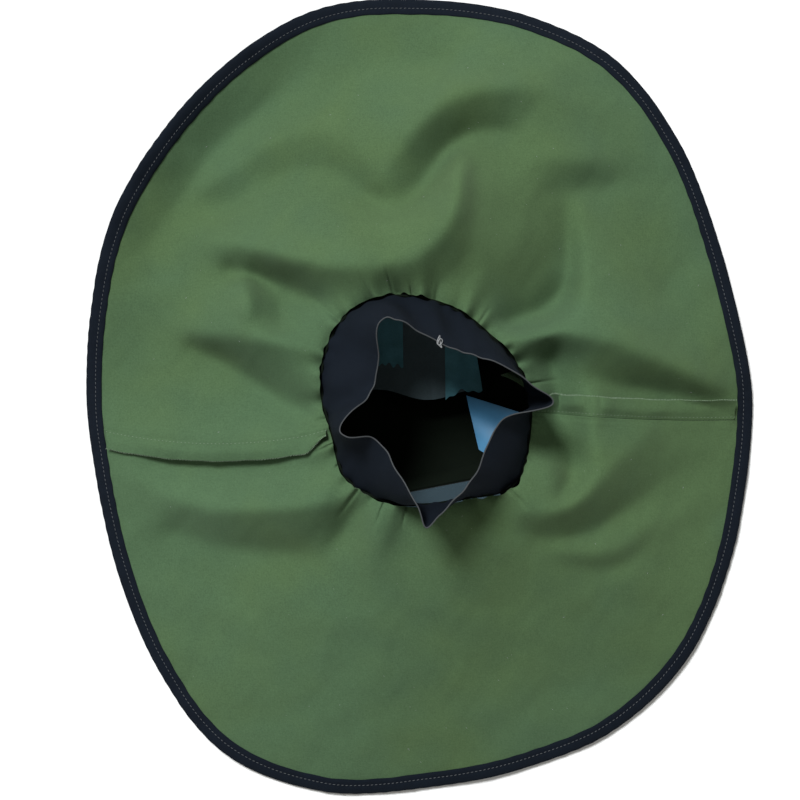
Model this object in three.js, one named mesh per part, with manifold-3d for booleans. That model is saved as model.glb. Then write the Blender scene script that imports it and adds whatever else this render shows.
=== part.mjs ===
// Sandblasting hood lying crown down: the cape is spread open with its inside up, the neck cuff stands
// out of the gathered neck seam, and the head bag with its visor is slumped underneath.
// Millimetres, +Z up. +Y is the back of the hood, -Y its front, the origin is under the cape's middle.
import * as THREE from "three";
import { mergeVertices } from "three/addons/utils/BufferGeometryUtils.js";
import Module from "manifold-3d";

const wasm = await Module();
wasm.setup();

// Cape
const capeWidth = 664;
const capeLength = 792;
const capeThickness = 2;
const seamAllowance = 19;
const flapThickness = 1.8;
const flapSpring = 0.09; // how far a flap's raw edge springs up, as a share of its width
const rightFlapSpring = 0.32; // the right flap lifts further near the rim
const flapSag = 0.22; // how steeply a flap follows the cape down, as a share of its width
// Edge binding
const bindingWidth = 15;
const bindingThickness = 1.1;
// Neck
const neckDiameter = 204;
const neckHeight = 125; // gathered neck seam above the floor
const gatherDepth = 6;
// Sheet that is drawn tight over the fold lines
const sheetMargin = 1.085; // size of its grid, as a share of the cape
const sheetStep = 4; // one cell
const sheetHold = 3; // how hard the fold lines hold it
const sheetEnd = 1.06; // held flat from here on, where the rim is 1
const sheetSweeps = 600;
const sheetPush = 1.95;
const sheetSoftness = 5.5;
// Neck cuff
const cuffWidth = 70;
const cuffThickness = 1.6;
const cuffBulge = 1.25; // above 1 the cuff rises before it leans in
// Head bag
const bagThickness = 2;
// Visor
const visorWidth = 134;
const visorHeight = 94;
const visorBorder = 13;
const visorCorner = 14;
const frameThickness = 3.5;
const paneThickness = 3;
const visorSet = 104; // neck axis to the visor's middle, along the floor
const visorLevel = 54; // height of the visor's middle above the floor
const visorTilt = 27; // degrees that the crown end leans in
const visorTurn = 11; // degrees that the front has turned to the right
// Inner pieces
const padThickness = 4;
const padDrop = 44; // fall of the nape pad from the neck seam to its free edge
const padSag = 7.4;
const stripThickness = 1.2;
const stripWidth = 27;
const pocketThickness = 1.4;
const filmThickness = 1;
const filmDrop = 21; // fall of the blue film from the bag's wall to its free edge
const filmSag = 4;
const sideSeamWidth = 15;
const sideSeamThickness = 1.6;
// Fit
const clearance = 0.3;
const innerClearance = 0.6; // between curved faces with unlike facets
const seamGap = 1.8; // between the foot of the cuff and the top of the bag

const neckRadius = neckDiameter / 2;

// Facets
const backColumns = 48;
const frontColumns = 42;
const cuffColumns = 60;
const cuffRows = 5;
const bagColumns = 36;

// Rim of the cape, every 15 degrees counterclockwise from the right, as shares of the ellipse of
// capeWidth and capeLength.
const rimShares = [
  0.98, 0.96, 0.965, 0.995, 1.02, 1.005, 0.997, 1.018, 1.014, 1.016, 1.027, 1.013,
  1.007, 1.0, 1.017, 1.048, 1.076, 1.037, 0.98, 0.977, 1.01, 1.024, 1.006, 0.985,
];

// Gathered neck seam, every 22.5 degrees from the right, as shares of neckRadius.
const neckShares = [
  1.0, 0.92, 0.85, 0.875, 0.935, 1.03, 1.08, 1.04, 0.985, 0.955, 1.07, 1.05, 1.02, 1.03, 1.17, 1.06,
];

// Lie of the cape, every 30 degrees from the right: height as shares of neckHeight at the neck seam,
// a quarter, half and three quarters of the way out, and at the rim.
const capeLie = [
  { neck: 0.84, quarter: 0.62, half: 0.4, outer: 0.2, rim: 0.05 },
  { neck: 0.84, quarter: 0.64, half: 0.41, outer: 0.19, rim: 0.05 },
  { neck: 0.84, quarter: 0.68, half: 0.43, outer: 0.2, rim: 0.05 },
  { neck: 0.82, quarter: 0.68, half: 0.44, outer: 0.21, rim: 0.05 },
  { neck: 0.78, quarter: 0.62, half: 0.35, outer: 0.13, rim: 0.27 },
  { neck: 0.76, quarter: 0.56, half: 0.32, outer: 0.13, rim: 0.27 },
  { neck: 0.76, quarter: 0.54, half: 0.35, outer: 0.2, rim: 0.12 },
  { neck: 0.8, quarter: 0.59, half: 0.39, outer: 0.21, rim: 0.07 },
  { neck: 0.86, quarter: 0.67, half: 0.45, outer: 0.24, rim: 0.045 },
  { neck: 0.88, quarter: 0.7, half: 0.48, outer: 0.26, rim: 0.045 },
  { neck: 0.88, quarter: 0.68, half: 0.46, outer: 0.25, rim: 0.05 },
  { neck: 0.86, quarter: 0.64, half: 0.42, outer: 0.22, rim: 0.05 },
];

// Lines that the cape is creased along, crests and valleys alike. Each is a row of places from the neck axis,
// x and y as shares of neckRadius, and how far the cloth lies above or below its lie there, as a share of
// neckHeight.
const foldLineColumns = ["x", "y", "lift"];
const foldLines = {
  rimValley: [
    [-1.07, 3.23, -0.01], [-1.55, 2.85, -0.04], [-2.04, 2.41, -0.05], [-2.4, 1.92, -0.04],
    [-2.72, 1.43, -0.01],
  ],
  upperRidge: [
    [-2.18, 2.01, 0.06], [-1.83, 2.25, 0.12], [-1.35, 2.52, 0.16], [-0.86, 2.5, 0.16], [-0.5, 2.2, 0.12],
  ],
  upperValley: [
    [-2.07, 1.76, -0.01], [-1.69, 1.97, -0.01], [-1.28, 2.17, -0.01], [-0.91, 2.16, -0.01],
    [-0.6, 1.95, -0.06], [-0.37, 1.79, -0.07],
  ],
  roll: [
    [-2.52, 1.35, 0.05], [-2.17, 1.5, 0.12], [-1.81, 1.45, 0.21], [-1.48, 1.37, 0.28],
    [-1.17, 1.27, 0.31], [-0.75, 1.21, 0.28], [-0.24, 1.25, 0.25], [0.07, 1.42, 0.31], [0.24, 1.68, 0.39],
    [0.3, 2, 0.35], [0.32, 2.28, 0.15],
  ],
  underRoll: [[-1.9, 1.21, -0.05], [-1.6, 1.14, -0.11], [-1.29, 1.02, -0.14], [-1, 0.88, -0.1]],
  underRollRight: [[-0.43, 0.98, 0.02], [-0.15, 1, 0.02], [0.15, 1.02, 0], [0.45, 1.19, 0.02]],
  sCrest: [
    [-0.43, 1.99, 0.06], [-0.26, 2.32, 0.18], [0.01, 2.66, 0.28], [0.33, 2.88, 0.31], [0.71, 2.95, 0.29],
    [1.15, 2.92, 0.22], [1.59, 2.79, 0.12], [1.94, 2.59, 0.05],
  ],
  sValley: [
    [-0.2, 1.81, -0.07], [0.01, 2.05, -0.09], [0.2, 2.33, -0.09], [0.47, 2.53, -0.04],
    [0.84, 2.53, -0.01],
  ],
  besideUpright: [[0.46, 2.2, 0.1], [0.49, 1.85, 0.15], [0.49, 1.51, 0.13], [0.45, 1.26, 0.05]],
  rightStreak: [[1.09, 2.26, 0.12], [1.48, 2.27, 0.15], [1.86, 2.29, 0.07]],
  rightStreakFoot: [[1.14, 1.94, -0.03], [1.54, 1.99, -0.03], [1.91, 2.07, -0.01]],
  trough: [
    [1.35, 1.84, -0.07], [1.38, 1.51, -0.15], [1.38, 1.2, -0.21], [1.29, 0.95, -0.31], [1.1, 0.8, -0.32],
    [0.76, 0.68, -0.28],
  ],
  troughRidge: [
    [1.48, 1.84, 0], [1.5, 1.5, 0.01], [1.5, 1.16, 0.04], [1.46, 0.84, 0.07], [1.26, 0.64, 0.09],
    [0.97, 0.57, 0.02], [0.69, 0.59, -0.04],
  ],
  rightCrest: [
    [1.37, 0.59, 0.14], [1.77, 0.53, 0.21], [2.05, 0.42, 0.22], [2.33, 0.31, 0.2], [2.63, 0.18, 0.14],
    [2.88, 0.06, 0.06],
  ],
  rightRoot: [
    [1.58, 0.18, -0.12], [1.86, 0.09, -0.12], [2.22, 0.06, -0.11], [2.57, 0.01, -0.07],
    [2.87, -0.03, -0.03],
  ],
  hollow: [[1.17, 0.45, -0.32], [1.25, 0.12, -0.36], [1.27, -0.17, -0.33], [1.08, -0.4, -0.26]],
  hollowRim: [[1.57, -0.02, 0.05], [1.58, -0.31, 0.06], [1.61, -0.59, 0.1]],
  plateau: [
    [2.14, -0.34, 0.06], [1.94, -0.5, 0.1], [1.74, -0.66, 0.14], [1.56, -0.83, 0.16], [1.37, -0.98, 0.17],
    [1.15, -1.07, 0.13], [0.87, -1.06, 0.05],
  ],
  hollowBump: [[1.14, -0.66, 0.02], [1.21, -0.82, 0.06], [1.14, -1, 0.06]],
  hollowGroove: [[1.37, -0.31, -0.22], [1.4, -0.55, -0.19], [1.4, -0.76, -0.07], [1.26, -0.93, -0.02]],
  rightValley: [
    [2.67, -0.51, -0.01], [2.39, -0.74, -0.05], [2.18, -0.89, -0.07], [1.99, -1.03, -0.07],
    [1.76, -1.17, -0.07], [1.52, -1.3, -0.07], [1.22, -1.35, -0.06], [0.96, -1.26, -0.04],
  ],
  crease: [
    [1.08, -1.45, -0.01], [1.42, -1.6, -0.03], [1.72, -1.65, -0.04], [1.97, -1.56, -0.04],
    [2.31, -1.28, -0.01],
  ],
  creaseCrest: [[1.26, -1.42, 0.03], [1.64, -1.5, 0.04], [1.91, -1.41, 0.03], [2.21, -1.18, 0.01]],
  frontRightPleat: [[0.27, -0.99, 0.04], [0.5, -1.23, 0.07], [0.74, -1.43, 0.05]],
  frontRightFold: [[0.48, -1, -0.03], [0.74, -1.24, -0.02], [0.98, -1.39, -0.01]],
  frontLeftPleat: [[-0.5, -1, 0.05], [-0.46, -1.23, 0.06], [-0.43, -1.52, 0.02]],
  frontLeftLine: [[-0.63, -1.01, -0.08], [-0.79, -1.29, -0.12], [-0.94, -1.53, -0.07]],
  frontMiddle: [[-0.22, -1.09, -0.01], [-0.24, -1.38, -0.01], [-0.2, -1.66, 0]],
  underSeamCrest: [
    [-3.03, -0.43, 0.04], [-2.8, -0.72, 0.09], [-2.49, -0.93, 0.15], [-2.19, -1.03, 0.2],
    [-1.74, -1.04, 0.25], [-1.26, -1.02, 0.25], [-0.89, -0.95, 0.14],
  ],
  underSeamFoot: [
    [-2.47, -1.28, -0.01], [-2.12, -1.4, -0.04], [-1.72, -1.46, -0.07], [-1.33, -1.47, -0.09],
    [-1.01, -1.52, -0.09],
  ],
  underSeamHollow: [
    [-2.66, -0.62, 0], [-2.16, -0.68, 0], [-1.67, -0.69, -0.03], [-1.28, -0.65, -0.03],
    [-1.04, -0.61, -0.03],
  ],
  leftSeam: [[-3.11, -0.3, 0.06], [-2.55, -0.39, 0.09], [-1.95, -0.42, 0.11], [-1.18, -0.36, 0.06]],
  leftCrest: [
    [-2.33, 0.65, 0.1], [-2.1, 0.6, 0.18], [-1.8, 0.58, 0.22], [-1.55, 0.55, 0.25], [-1.32, 0.5, 0.21],
    [-1.1, 0.42, 0.12],
  ],
  leftValley: [
    [-2.3, 0.5, 0.01], [-2.11, 0.43, -0.06], [-1.85, 0.29, -0.12], [-1.6, 0.13, -0.17],
    [-1.34, -0.04, -0.16], [-1.11, -0.16, -0.12],
  ],
  leftHollowCrest: [[-1.79, 1.24, 0.05], [-1.69, 1.01, 0.22], [-1.67, 0.77, 0.28]],
  leftHollow: [[-1.38, 0.93, -0.12], [-1.34, 0.71, -0.05]],
  leftBump: [[-2.96, 0.94, 0.07], [-2.66, 1.04, 0.1], [-2.36, 0.94, 0.1]],
  leftHand: [[-2.96, 0.32, 0], [-2.56, 0.17, 0.01], [-2.06, -0.02, 0.03]],
  front: [[-2.47, -1.97, 0], [-1.39, -2.17, 0], [-0.24, -2.2, 0], [0.9, -2.11, 0], [2.06, -1.66, 0]],
  right: [[2.23, 1.53, 0], [2.37, 0.94, 0]],
  back: [[-1.01, 2.88, 0.04], [-0.43, 3.17, 0.03], [0.24, 3.27, 0.01]],
};

// Seams between the two halves of the cape: angle of the seam where it leaves the neck and at the rim.
const rightSeam = { neckAngle: -7.5, rimAngle: -4 };
const leftSeam = { neckAngle: 198, rimAngle: 185.5 };

// How far out the cape's rows of facets lie, between the neck seam (0) and the binding's inner edge (1),
// where the last row follows.
const capeRows = [0, 0.03, 0.07, 0.12, 0.17, 0.23, 0.3, 0.37, 0.45, 0.54, 0.64, 0.75, 0.87];

// Free edge of the neck cuff, from the right counterclockwise: where the cloth starts on the neck seam,
// and the angle and the distance of its edge from the neck axis, as a share of neckRadius.
const cuffEdge = [
  { start: 0, edge: 357, reach: 1.15 },
  { start: 14, edge: 8, reach: 0.94 },
  { start: 32, edge: 22, reach: 0.76 },
  { start: 50, edge: 36, reach: 0.61 },
  { start: 68, edge: 56, reach: 0.51 },
  { start: 86, edge: 78, reach: 0.51 },
  { start: 102, edge: 97, reach: 0.6 },
  { start: 116, edge: 111, reach: 0.75 },
  { start: 132, edge: 122, reach: 0.8 },
  { start: 150, edge: 140, reach: 0.57 },
  { start: 168, edge: 163, reach: 0.49 },
  { start: 184, edge: 183, reach: 0.56 },
  { start: 198, edge: 198, reach: 0.82 },
  { start: 210, edge: 206, reach: 0.8 },
  { start: 222, edge: 216, reach: 0.62 },
  { start: 236, edge: 234, reach: 0.61 },
  { start: 250, edge: 254, reach: 0.78 },
  { start: 262, edge: 265, reach: 0.97 },
  { start: 270, edge: 269.5, reach: 1.17 },
  { start: 279, edge: 276, reach: 1.06 },
  { start: 292, edge: 286, reach: 0.94 },
  { start: 307, edge: 302, reach: 0.82 },
  { start: 322, edge: 320, reach: 0.71 },
  { start: 336, edge: 336, reach: 0.69 },
  { start: 349, edge: 349, reach: 0.8 },
];

// Sections of the slumped head bag from the neck seam down: level as a share of the way up to the neck
// seam, reach as a share of the neck seam's own reach, round as how far the section has become a circle.
const bagSections = [
  { level: 1, reach: 1, round: 0 },
  { level: 0.86, reach: 1, round: 0 },
  { level: 0.72, reach: 1.08, round: 0.3 },
  { level: 0.57, reach: 1.15, round: 0.6 },
  { level: 0.4, reach: 1.19, round: 0.9 },
  { level: 0.21, reach: 1.17, round: 1 },
  { level: 0.035, reach: 1.03, round: 1 },
  { level: 0, reach: 0.93, round: 1 },
  { level: 0, reach: 0.55, round: 1 },
];
// Share of the bulge that the bag has to each side, every 45 degrees from the right.
const bagBulge = [0.4, 0.7, 1, 0.8, 0.9, 0.9, 1.2, 0.9];
const bagTop = 0.93; // mean level of the bag's top, as a share of neckHeight
const bagRipples = 7;
const bagRippleDepth = 2.5;

// Nape pad: angles along the back of the neck seam, and its wavy free edge as shares of neckRadius.
const napePad = {
  startAngle: 58,
  endAngle: 126,
  edgeRight: 0.5,
  edgeLeft: -0.56,
  edgeSet: 0.03,
  edgeWave: 0.05,
  waves: 7,
};

// Pieces lying on the pad: how far down the pad they start and end (0 to 1), and across it (0 right, 1 left).
const tealStrip = { top: 0.12, foot: 0.72, across: 0.79 };
const tealPocket = { top: 0.4, foot: 1.04, right: -0.06, left: 0.3 };

// Where the blue film leaves the bag's wall, and the two ends of its free edge as shares of neckRadius.
const filmAngles = [350, 343, 336, 328, 320];
const filmEdge = { backX: 0.4, backY: 0.02, frontX: 0.52, frontY: -0.5 };

const degrees = (angle) => (angle * Math.PI) / 180;
const mix = (a, b, share) => a + (b - a) * share;
const clamp01 = (value) => Math.min(1, Math.max(0, value));
const smooth = (value) => clamp01(value) ** 2 * (3 - 2 * clamp01(value));

// Smooth curve through four neighbouring values.
function spline(before, from, to, after, share) {
  const bend = 2 * before - 5 * from + 4 * to - after;
  const twist = 3 * (from - to) + after - before;
  return from + 0.5 * share * (to - before + share * (bend + share * twist));
}

// Value at an angle from equally spaced values all round.
function around(values, angle) {
  const count = values.length;
  const place = ((((angle / 360) * count) % count) + count) % count;
  const first = Math.floor(place);
  const at = (step) => values[(first + step + count) % count];
  return spline(at(-1), at(0), at(1), at(2), place - first);
}

// Distance from the neck axis to the rim and to the neck seam.
function rimReach(angle) {
  const a = degrees(angle);
  const ellipse = 1 / Math.hypot(Math.cos(a) / (capeWidth / 2), Math.sin(a) / (capeLength / 2));
  return ellipse * around(rimShares, angle);
}
const neckReach = (angle) => neckRadius * around(neckShares, angle);

function planPoint(angle, distance) {
  return [distance * Math.cos(degrees(angle)), distance * Math.sin(degrees(angle))];
}
const capePlan = (angle, reach) => planPoint(angle, mix(neckReach(angle), rimReach(angle), reach));

// Height of the smooth lie, before folds.
function lieHeight(angle, reach) {
  const names = ["neck", "quarter", "half", "outer", "rim"];
  const heights = names.map((name) => around(capeLie.map((row) => row[name]), angle));
  const place = clamp01(reach) * 4;
  const first = Math.min(3, Math.floor(place));
  const at = (index) => {
    if (index < 0) return 2 * heights[0] - heights[1];
    if (index > 4) return 2 * heights[4] - heights[3];
    return heights[index];
  };
  return neckHeight * spline(at(first - 1), at(first), at(first + 1), at(first + 2), place - first);
}

// Places along a smooth curve through a fold line's points, about a step apart.
function foldPlaces(points, step) {
  const perRun = 24;
  const curve = [];
  for (let i = 0; i < points.length - 1; i++) {
    const near = [i - 1, i, i + 1, i + 2].map((n) => points[Math.min(points.length - 1, Math.max(0, n))]);
    for (let k = 0; k < perRun; k++) {
      curve.push(near[1].map((_, axis) => spline(...near.map((point) => point[axis]), k / perRun)));
    }
  }
  curve.push(points.at(-1));
  const walked = [0];
  for (let i = 1; i < curve.length; i++) {
    walked.push(walked[i - 1] + Math.hypot(curve[i][0] - curve[i - 1][0], curve[i][1] - curve[i - 1][1]));
  }
  const stops = Math.max(2, Math.floor(walked.at(-1) / step));
  return Array.from({ length: stops }, (_, k) => {
    const stop = (walked.at(-1) * k) / (stops - 1);
    const next = Math.max(1, walked.findIndex((distance) => distance >= stop - 1e-9));
    const share = (stop - walked[next - 1]) / (walked[next] - walked[next - 1]);
    return curve[next].map((value, axis) => mix(curve[next - 1][axis], value, share));
  });
}

const sheetHalfX = (sheetMargin * capeWidth) / 2;
const sheetHalfY = (sheetMargin * capeLength) / 2;
const sheetColumns = Math.round((2 * sheetHalfX) / sheetStep) + 1;

// Heights of a sheet, on a square grid, that is drawn tight over the fold lines, held flat beyond the rim
// and softened.
function drawnSheet() {
  const columns = sheetColumns;
  const rows = Math.round((2 * sheetHalfY) / sheetStep) + 1;
  const hold = new Float64Array(rows * columns);
  const pull = new Float64Array(rows * columns);
  const scale = { x: neckRadius, y: neckRadius, lift: neckHeight };
  const placeSpacing = 0.375; // of a cell
  const heldFast = 100;
  for (const line of Object.values(foldLines)) {
    const points = line.map((row) => row.map((value, i) => value * scale[foldLineColumns[i]]));
    for (const [x, y, lift] of foldPlaces(points, placeSpacing * sheetStep)) {
      const [column, row] = [(x + sheetHalfX) / sheetStep, (y + sheetHalfY) / sheetStep];
      const [over, up] = [column % 1, row % 1];
      const cell = Math.floor(row) * columns + Math.floor(column);
      for (const [right, above] of [[0, 0], [1, 0], [0, 1], [1, 1]]) {
        const share = (right ? over : 1 - over) * (above ? up : 1 - up) * sheetHold;
        hold[cell + above * columns + right] += share;
        pull[cell + above * columns + right] += share * lift;
      }
    }
  }
  for (let row = 0; row < rows; row++) {
    for (let column = 0; column < columns; column++) {
      const [x, y] = [column * sheetStep - sheetHalfX, row * sheetStep - sheetHalfY];
      const angle = (Math.atan2(y, x) * 180) / Math.PI;
      const start = neckReach(angle);
      if ((Math.hypot(x, y) - start) / (rimReach(angle) - start) > sheetEnd) {
        hold[row * columns + column] = heldFast;
        pull[row * columns + column] = 0;
      }
    }
  }
  const sheet = new Float64Array(rows * columns);
  for (let sweep = 0; sweep < sheetSweeps; sweep++) {
    for (let row = 1; row < rows - 1; row++) {
      for (let column = 1; column < columns - 1; column++) {
        const at = row * columns + column;
        const neighbours = sheet[at - 1] + sheet[at + 1] + sheet[at - columns] + sheet[at + columns];
        sheet[at] += sheetPush * ((neighbours + pull[at]) / (4 + hold[at]) - sheet[at]);
      }
    }
  }
  return softened(softened(sheet, 1), columns);
}

// Grid averaged with a bell curve of sheetSoftness, along its rows with a stride of 1, or along its columns.
function softened(grid, stride) {
  const reach = [-4, -3, -2, -1, 0, 1, 2, 3, 4];
  const weights = reach.map((step) => Math.exp(-((step * sheetStep) ** 2) / (2 * sheetSoftness ** 2)));
  const whole = weights.reduce((sum, weight) => sum + weight, 0);
  return grid.map((_, at) =>
    reach.reduce((sum, step, i) => sum + (weights[i] / whole) * (grid[at + step * stride] ?? 0), 0),
  );
}

const foldSheet = drawnSheet();

// What the folds add to the lie of the cape.
function foldHeight(x, y) {
  const [column, row] = [(x + sheetHalfX) / sheetStep, (y + sheetHalfY) / sheetStep];
  const [firstColumn, firstRow] = [Math.floor(column), Math.floor(row)];
  const steps = [-1, 0, 1, 2];
  const lines = steps.map((up) => {
    const at = (over) => foldSheet[(firstRow + up) * sheetColumns + firstColumn + over];
    return spline(...steps.map(at), column - firstColumn);
  });
  return spline(...lines, row - firstRow);
}

// Small gathers that the neck seam draws into the cape.
function gatherHeight(angle, reach) {
  const fine = Math.sin(degrees(angle) * 23 + 1.3 * Math.sin(degrees(angle) * 5) + 0.8);
  const broad = Math.sin(degrees(angle) * 13 + 1.1 * Math.sin(degrees(angle) * 3));
  return (gatherDepth / 2) * (fine * Math.exp(-reach / 0.055) + broad * Math.exp(-reach / 0.16));
}

// Upper face of the cape.
function capeHeight(x, y) {
  const angle = (Math.atan2(y, x) * 180) / Math.PI;
  const start = neckReach(angle);
  const reach = (Math.hypot(x, y) - start) / (rimReach(angle) - start);
  return lieHeight(angle, reach) + foldHeight(x, y) + gatherHeight(angle, clamp01(reach));
}

// Level of the neck seam, evened out over the small gathers and the ends of the folds.
function neckLevel(angle) {
  const steps = [-18, -9, 0, 9, 18];
  const levels = steps.map((step) => {
    return lieHeight(angle + step, 0) + foldHeight(...capePlan(angle + step, 0));
  });
  return levels.reduce((sum, level) => sum + level, 0) / steps.length;
}
const onCape = (x, y) => new THREE.Vector3(x, y, capeHeight(x, y));

// Reach at which the binding's inner edge lies.
function bindingReach(angle) {
  return 1 - bindingWidth / (rimReach(angle) - neckReach(angle));
}

// Frame of the rim at an angle: the cape's edge and the binding's inner edge on the upper face, the way
// in along the cloth and the cloth's normal.
function rimFrame(angle) {
  const edgeAt = (a) => onCape(...capePlan(a, 1));
  const edge = edgeAt(angle);
  const inner = onCape(...capePlan(angle, bindingReach(angle)));
  const inward = inner.clone().sub(edge).normalize();
  const along = edgeAt(angle + 0.5).sub(edgeAt(angle - 0.5)).normalize();
  const normal = inward.clone().cross(along).normalize();
  if (normal.z < 0) normal.negate();
  return { edge, inner, inward, normal };
}

// Closed solid from two grids of points, front facing the viewer counterclockwise. wraps closes the
// columns into a ring.
function shellSolid(front, back, wraps = false) {
  const rows = front.length;
  const columns = front[0].length;
  const vertices = [...front.flat(), ...back.flat()];
  const triangles = [];
  const quad = (a, b, c, d) => triangles.push(a, b, c, a, c, d);
  const index = (side, row, column) => side * rows * columns + row * columns + (column % columns);
  const spans = wraps ? columns : columns - 1;
  for (let r = 0; r < rows - 1; r++) {
    for (let c = 0; c < spans; c++) {
      quad(index(0, r, c), index(0, r + 1, c), index(0, r + 1, c + 1), index(0, r, c + 1));
      quad(index(1, r, c), index(1, r, c + 1), index(1, r + 1, c + 1), index(1, r + 1, c));
    }
  }
  for (let c = 0; c < spans; c++) {
    quad(index(0, 0, c), index(0, 0, c + 1), index(1, 0, c + 1), index(1, 0, c));
    const last = rows - 1;
    quad(index(0, last, c + 1), index(0, last, c), index(1, last, c), index(1, last, c + 1));
  }
  if (!wraps) {
    for (let r = 0; r < rows - 1; r++) {
      quad(index(0, r + 1, 0), index(0, r, 0), index(1, r, 0), index(1, r + 1, 0));
      const end = columns - 1;
      quad(index(0, r, end), index(0, r + 1, end), index(1, r + 1, end), index(1, r, end));
    }
  }
  return geometryOf(vertices, triangles);
}

// Ring of equal sections, closed all round. The faces listed in crossed have their diagonals the other
// way, so that they stay parallel to the cape's facets beside them.
function ringSolid(sections, crossed) {
  const points = sections[0].length;
  const triangles = [];
  sections.forEach((_, s) => {
    const next = (s + 1) % sections.length;
    for (let p = 0; p < points; p++) {
      const q = (p + 1) % points;
      const [a, b, c, d] = [s * points + p, next * points + p, next * points + q, s * points + q];
      if (crossed.includes(p)) triangles.push(a, b, d, b, c, d);
      else triangles.push(a, b, c, a, c, d);
    }
  });
  return geometryOf(sections.flat(), triangles);
}

function geometryOf(vertices, triangles) {
  const geometry = new THREE.BufferGeometry().setFromPoints(vertices);
  geometry.setIndex(triangles);
  return signedVolume(geometry) < 0 ? turnedOver(geometry) : geometry;
}

function signedVolume(geometry) {
  const position = geometry.getAttribute("position");
  const corner = (i) => new THREE.Vector3().fromBufferAttribute(position, geometry.index.getX(i));
  let volume = 0;
  for (let i = 0; i < geometry.index.count; i += 3) {
    volume += corner(i).dot(corner(i + 1).cross(corner(i + 2))) / 6;
  }
  return volume;
}

function turnedOver(geometry) {
  const index = Array.from(geometry.index.array);
  for (let i = 0; i < index.length; i += 3) {
    [index[i + 1], index[i + 2]] = [index[i + 2], index[i + 1]];
  }
  geometry.setIndex(index);
  return geometry;
}

function toManifold(source) {
  const bare = source.clone();
  bare.deleteAttribute("normal");
  bare.deleteAttribute("uv");
  const merged = mergeVertices(bare, 1e-3);
  return new wasm.Manifold(
    new wasm.Mesh({
      numProp: 3,
      vertProperties: merged.getAttribute("position").array,
      triVerts: new Uint32Array(merged.index.array),
    }),
  );
}

function fromManifold(solid) {
  const mesh = solid.getMesh();
  const geometry = new THREE.BufferGeometry();
  geometry.setAttribute("position", new THREE.BufferAttribute(mesh.vertProperties, 3));
  geometry.setIndex(new THREE.BufferAttribute(mesh.triVerts, 1));
  return geometry;
}

// Angle of a seam at a reach.
const seamAngle = (seam, reach) => mix(seam.neckAngle, seam.rimAngle, reach);

// Angle of a column of cape facets: the columns fan from one seam to the other, and the outer ones keep
// half the clearance from the seam.
function columnAngle(from, to, share, reach) {
  const start = seamAngle(from, reach);
  const turn = to.neckAngle < from.neckAngle ? 360 : 0;
  const end = seamAngle(to, reach) + turn;
  const middle = mix(start, end, share);
  const distance = mix(neckReach(middle), rimReach(middle), reach);
  const inset = (clearance / 2 / distance) * (180 / Math.PI);
  return mix(start + inset, end - inset, share);
}

// Unit normal of the cape's upper face.
function capeNormal(x, y) {
  const step = 1.5;
  const slopeX = (capeHeight(x + step, y) - capeHeight(x - step, y)) / (2 * step);
  const slopeY = (capeHeight(x, y + step) - capeHeight(x, y - step)) / (2 * step);
  return new THREE.Vector3(-slopeX, -slopeY, 1).normalize();
}

// Half of the cape between two seams.
function capeHalf(from, to, columns) {
  const upper = [];
  const lower = [];
  for (const share of capeRows) {
    const upperRow = [];
    const lowerRow = [];
    for (let c = 0; c <= columns; c++) {
      const reach = share * bindingReach(columnAngle(from, to, c / columns, share));
      const angle = columnAngle(from, to, c / columns, reach);
      const point = onCape(...capePlan(angle, reach));
      const normal = share === 0 ? new THREE.Vector3(0, 0, 1) : capeNormal(point.x, point.y);
      upperRow.push(point);
      lowerRow.push(point.clone().addScaledVector(normal, -capeThickness));
    }
    upper.push(upperRow);
    lower.push(lowerRow);
  }
  const shares = Array.from({ length: columns + 1 }, (_, c) => c / columns);
  const rim = shares.map((share) => rimFrame(columnAngle(from, to, share, 1)));
  for (const line of ["inner", "edge"]) {
    upper.push(rim.map((frame) => frame[line]));
    lower.push(rim.map((frame) => frame[line].clone().addScaledVector(frame.normal, -capeThickness)));
  }
  return shellSolid(upper, lower);
}

// Binding folded over the rim: a U section that keeps the clearance from the cape's two faces and edge.
function bindingRing() {
  const angles = [];
  for (let c = 0; c < backColumns; c++) {
    angles.push(columnAngle(rightSeam, leftSeam, c / backColumns, 1));
  }
  for (let c = 0; c < frontColumns; c++) {
    angles.push(columnAngle(leftSeam, rightSeam, c / frontColumns, 1));
  }
  const sections = angles.map((angle) => {
    const { edge, inner, inward, normal } = rimFrame(angle);
    const depth = inner.clone().sub(edge).length();
    const at = (along, rise) =>
      edge.clone().addScaledVector(inward, along).addScaledVector(normal, rise);
    const slotTop = clearance;
    const slotFoot = -capeThickness - clearance;
    const top = slotTop + bindingThickness;
    const foot = slotFoot - bindingThickness;
    const outside = -clearance - bindingThickness;
    return [
      at(depth, slotTop),
      at(depth, top),
      at(outside * 0.3, top),
      at(outside, mix(top, foot, 0.3)),
      at(outside, mix(top, foot, 0.7)),
      at(outside * 0.3, foot),
      at(depth, foot),
      at(depth, slotFoot),
      at(-clearance, slotFoot),
      at(-clearance, slotTop),
    ];
  });
  const edgeToInner = [5, 9];
  return ringSolid(sections, edgeToInner);
}

// Height at which a stiff double layer rests on the cape: it bridges the dips under it.
function bridged(x, y) {
  const steps = [-1, 0, 1].map((step) => (step * seamAllowance) / 2);
  const heightAt = (dx, dy) => capeHeight(x + dx, y + dy) - Math.abs(dx) * flapSag;
  return Math.max(...steps.flatMap((dx) => steps.map((dy) => heightAt(dx, dy))));
}

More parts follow.
